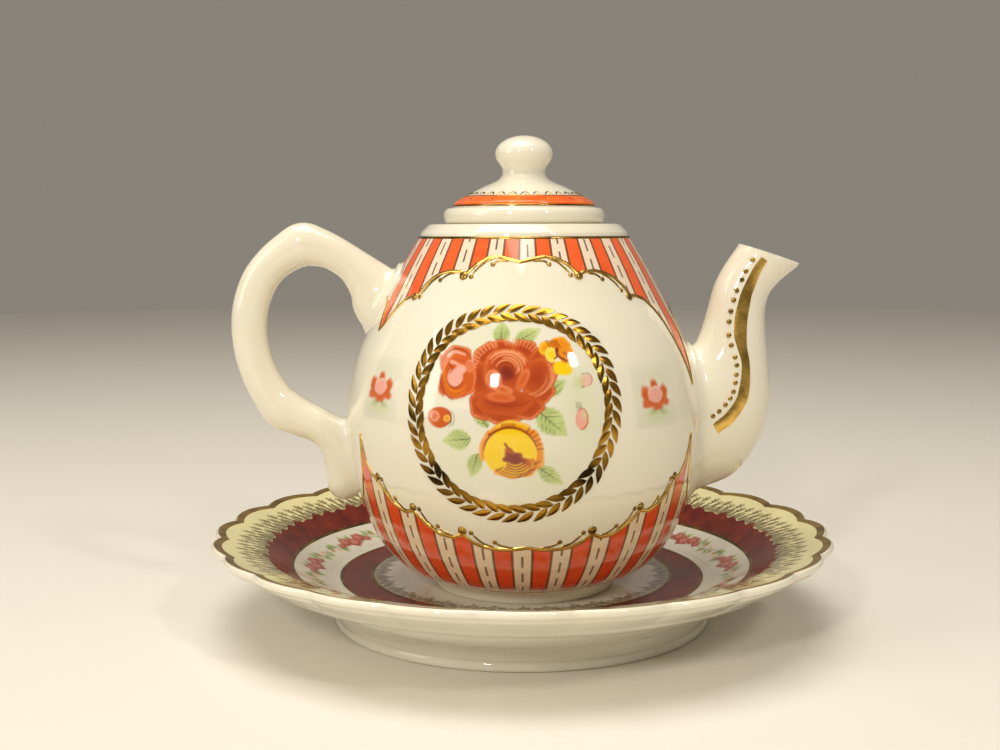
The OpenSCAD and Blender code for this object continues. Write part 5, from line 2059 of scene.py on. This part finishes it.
    def paint_garland(self, r: np.ndarray, azimuth: np.ndarray) -> np.ndarray:
        """A trailing garland of pink roses among grey-green leaves on the white ground.

        Args:
            r: radii of the grid's points.
            azimuth: azimuths of its columns.

        Returns:
            RGBA at each point.
        """
        period = 360 / 12
        middle = (self.well_r + self.flange_r) / 2 - 1.6
        u = np.radians((azimuth + period / 2) % period - period / 2) * middle + 0 * r
        c = Canvas(u, r - middle)
        rng = np.random.default_rng(3)
        c.stroke([(-9.0, 0.4), (-6.0, -0.7), (-2.0, 0.5), (2.0, -0.6), (6.0, 0.6), (9.0, 0.4)], 0.26,
                 Paint.LEAF_SHADE, 0.9)
        for x in np.arange(-8.4, 8.4, 0.95):
            y = 0.5 * math.sin(x * 1.1)
            turn = rng.uniform(-60, 60) + (90 if rng.random() > 0.5 else -90)
            c.leaf(x, y, rng.uniform(1.3, 2.1), rng.uniform(0.8, 1.2), turn, 1.0)
            c.wash(x, y, 0.55, 0.4, Paint.SAGE, 0.55)
        for x, y, size in ((-1.7, 0.4, 1.3), (0.3, -0.4, 1.5), (2.3, 0.3, 1.25), (-3.4, -0.3, 0.85),
                           (4.1, -0.2, 0.8)):
            c.petal(x, y, size, size * 0.9, 0, Paint.DUSTY_ROSE, Paint.CLARET, Paint.ROSE_PINK, 0.12, 5, 90,
                    0.3)
            c.petal(x, y + 0.1, size * 0.5, size * 0.45, 0, Paint.ROSE_PINK, Paint.DUSTY_ROSE, Paint.IVORY,
                    0.05, 5)
        for x in (-7.4, -5.6, 6.0, 7.7):
            c.wash(x, rng.uniform(-0.8, 0.8), 0.45, 0.4, Paint.AMBER, 0.7)
        return c.rgba()

    def paint_spray(self, r: np.ndarray, azimuth: np.ndarray) -> np.ndarray:
        """An olive leaf spray round the well, fading inwards.

        Args:
            r: radii of the grid's points.
            azimuth: azimuths of its columns.

        Returns:
            RGBA at each point.
        """
        period = 360 / 18
        middle = self.well_r - 7.5
        u = np.radians((azimuth + period / 2) % period - period / 2) * middle + 0 * r
        c = Canvas(u, r - middle)
        rng = np.random.default_rng(9)
        for x in np.arange(-3.8, 3.9, 0.42):
            deep = 2.9 - 1.3 * abs(math.sin(x * 0.82)) - rng.random() * 0.6
            y = 1.75
            while y > 1.9 - deep:
                turn = math.radians(rng.uniform(-150, -30))
                size = rng.uniform(0.5, 0.95)
                c.stroke([(x, y), (x + size * math.cos(turn), y + size * math.sin(turn))], 0.42,
                         Paint.OLIVE if rng.random() > 0.4 else Paint.OCHRE, 0.7, 0.25)
                y -= 0.55
        return c.rgba()

    def make_rim(self) -> None:
        """The gilt line that follows the scallops just inside the white lip."""
        azimuth = np.linspace(0, 360, 960, endpoint=False)
        gilt = self.ring("saucer_rim_gold", self.edge(azimuth, 1.75), self.edge(azimuth, 0.5),
                         self.finishes.gold, 6, 960, 0.07)
        finished(gilt, "saucer", "gilding", "saucer_rim_gilding")


# ------------------------------------------------------------------------------------------------ stage

@dataclass
class Studio:
    """A pale floor, soft light with two small lamps, and the camera."""

    lens_mm: float = 48.3
    place: tuple = (-3.39, -219.2, 63.96)
    pitch_deg: float = 6.22
    roll_deg: float = 0.15

    def build(self) -> None:
        """Sets out the floor, the lights, the world and the camera."""
        angles = np.linspace(0, 2 * np.pi, 96, endpoint=False)
        rim = np.stack([900 * np.sin(angles), 900 * np.cos(angles), 0 * angles], 1)
        floor = new_piece("studio_floor", rim, [list(range(96))[::-1]], StudioFloor().material("pale_paper"))
        self.lamp("top_soft", (-60, -60, 560), 460, 360, 2.3, "#FFF8EC")
        self.lamp("lamp_left", (-160, -430, 250), 34, 60, 0.7, "#FFF6E8")
        self.lamp("lamp_right", (225, -330, 325), 34, 60, 0.4, "#FFF6E8")
        self.lamp("fill_left", (-420, -180, 220), 160, 300, 0.4, "#FFF8EC")
        world = bpy.data.worlds.new("studio")
        world.use_nodes = True
        sky = world.node_tree.nodes["Background"]
        sky.inputs["Color"].default_value = linear("#C6BEB0")
        sky.inputs["Strength"].default_value = 0.44
        bpy.context.scene.world = world
        # The enamels are plain sRGB colours, so the plain view shows them as they were mixed
        bpy.context.scene.view_settings.view_transform = "Standard"
        data = bpy.data.cameras.new("camera")
        data.lens = self.lens_mm
        data.sensor_width = 36.0
        data.clip_start = 0.01
        camera = bpy.data.objects.new("camera", data)
        camera.location = [v * MM for v in self.place]
        camera.rotation_mode = "XYZ"
        camera.rotation_euler = (math.radians(90 - self.pitch_deg), math.radians(self.roll_deg), 0.0)
        bpy.context.scene.collection.objects.link(camera)
        bpy.context.scene.camera = camera

    def lamp(self, name: str, place: tuple, width: float, height: float, power: float, colour: str) -> None:
        """A rectangular soft light aimed at the middle of the set, sizes in millimetres and power in watts.

        Args:
            name: the light's name.
            place: where it stands, in millimetres.
            width: its width, in millimetres.
            height: its height, in millimetres.
            power: its power in watts.
            colour: its colour.
        """
        data = bpy.data.lights.new(name, "AREA")
        data.shape = "RECTANGLE"
        data.size, data.size_y = width * MM, height * MM
        data.energy = power
        data.color = linear(colour)[:3]
        light = bpy.data.objects.new(name, data)
        target = np.array([0.0, 0.0, 40.0])
        away = np.array(place) - target
        light.location = [v * MM for v in place]
        light.rotation_euler = (math.acos(away[2] / np.linalg.norm(away)), 0.0,
                                math.atan2(away[1], away[0]) + math.pi / 2)
        bpy.context.scene.collection.objects.link(light)


def main() -> None:
    """Builds the set from the saucer up, then its studio."""
    logging.basicConfig(level=logging.INFO, format="%(name)s: %(message)s")
    Studio().build()
    finishes = Finishes()
    Saucer(finishes).build()
    Pot(finishes).build()
    Lid(finishes).build()


if __name__ == "__main__":
    main()
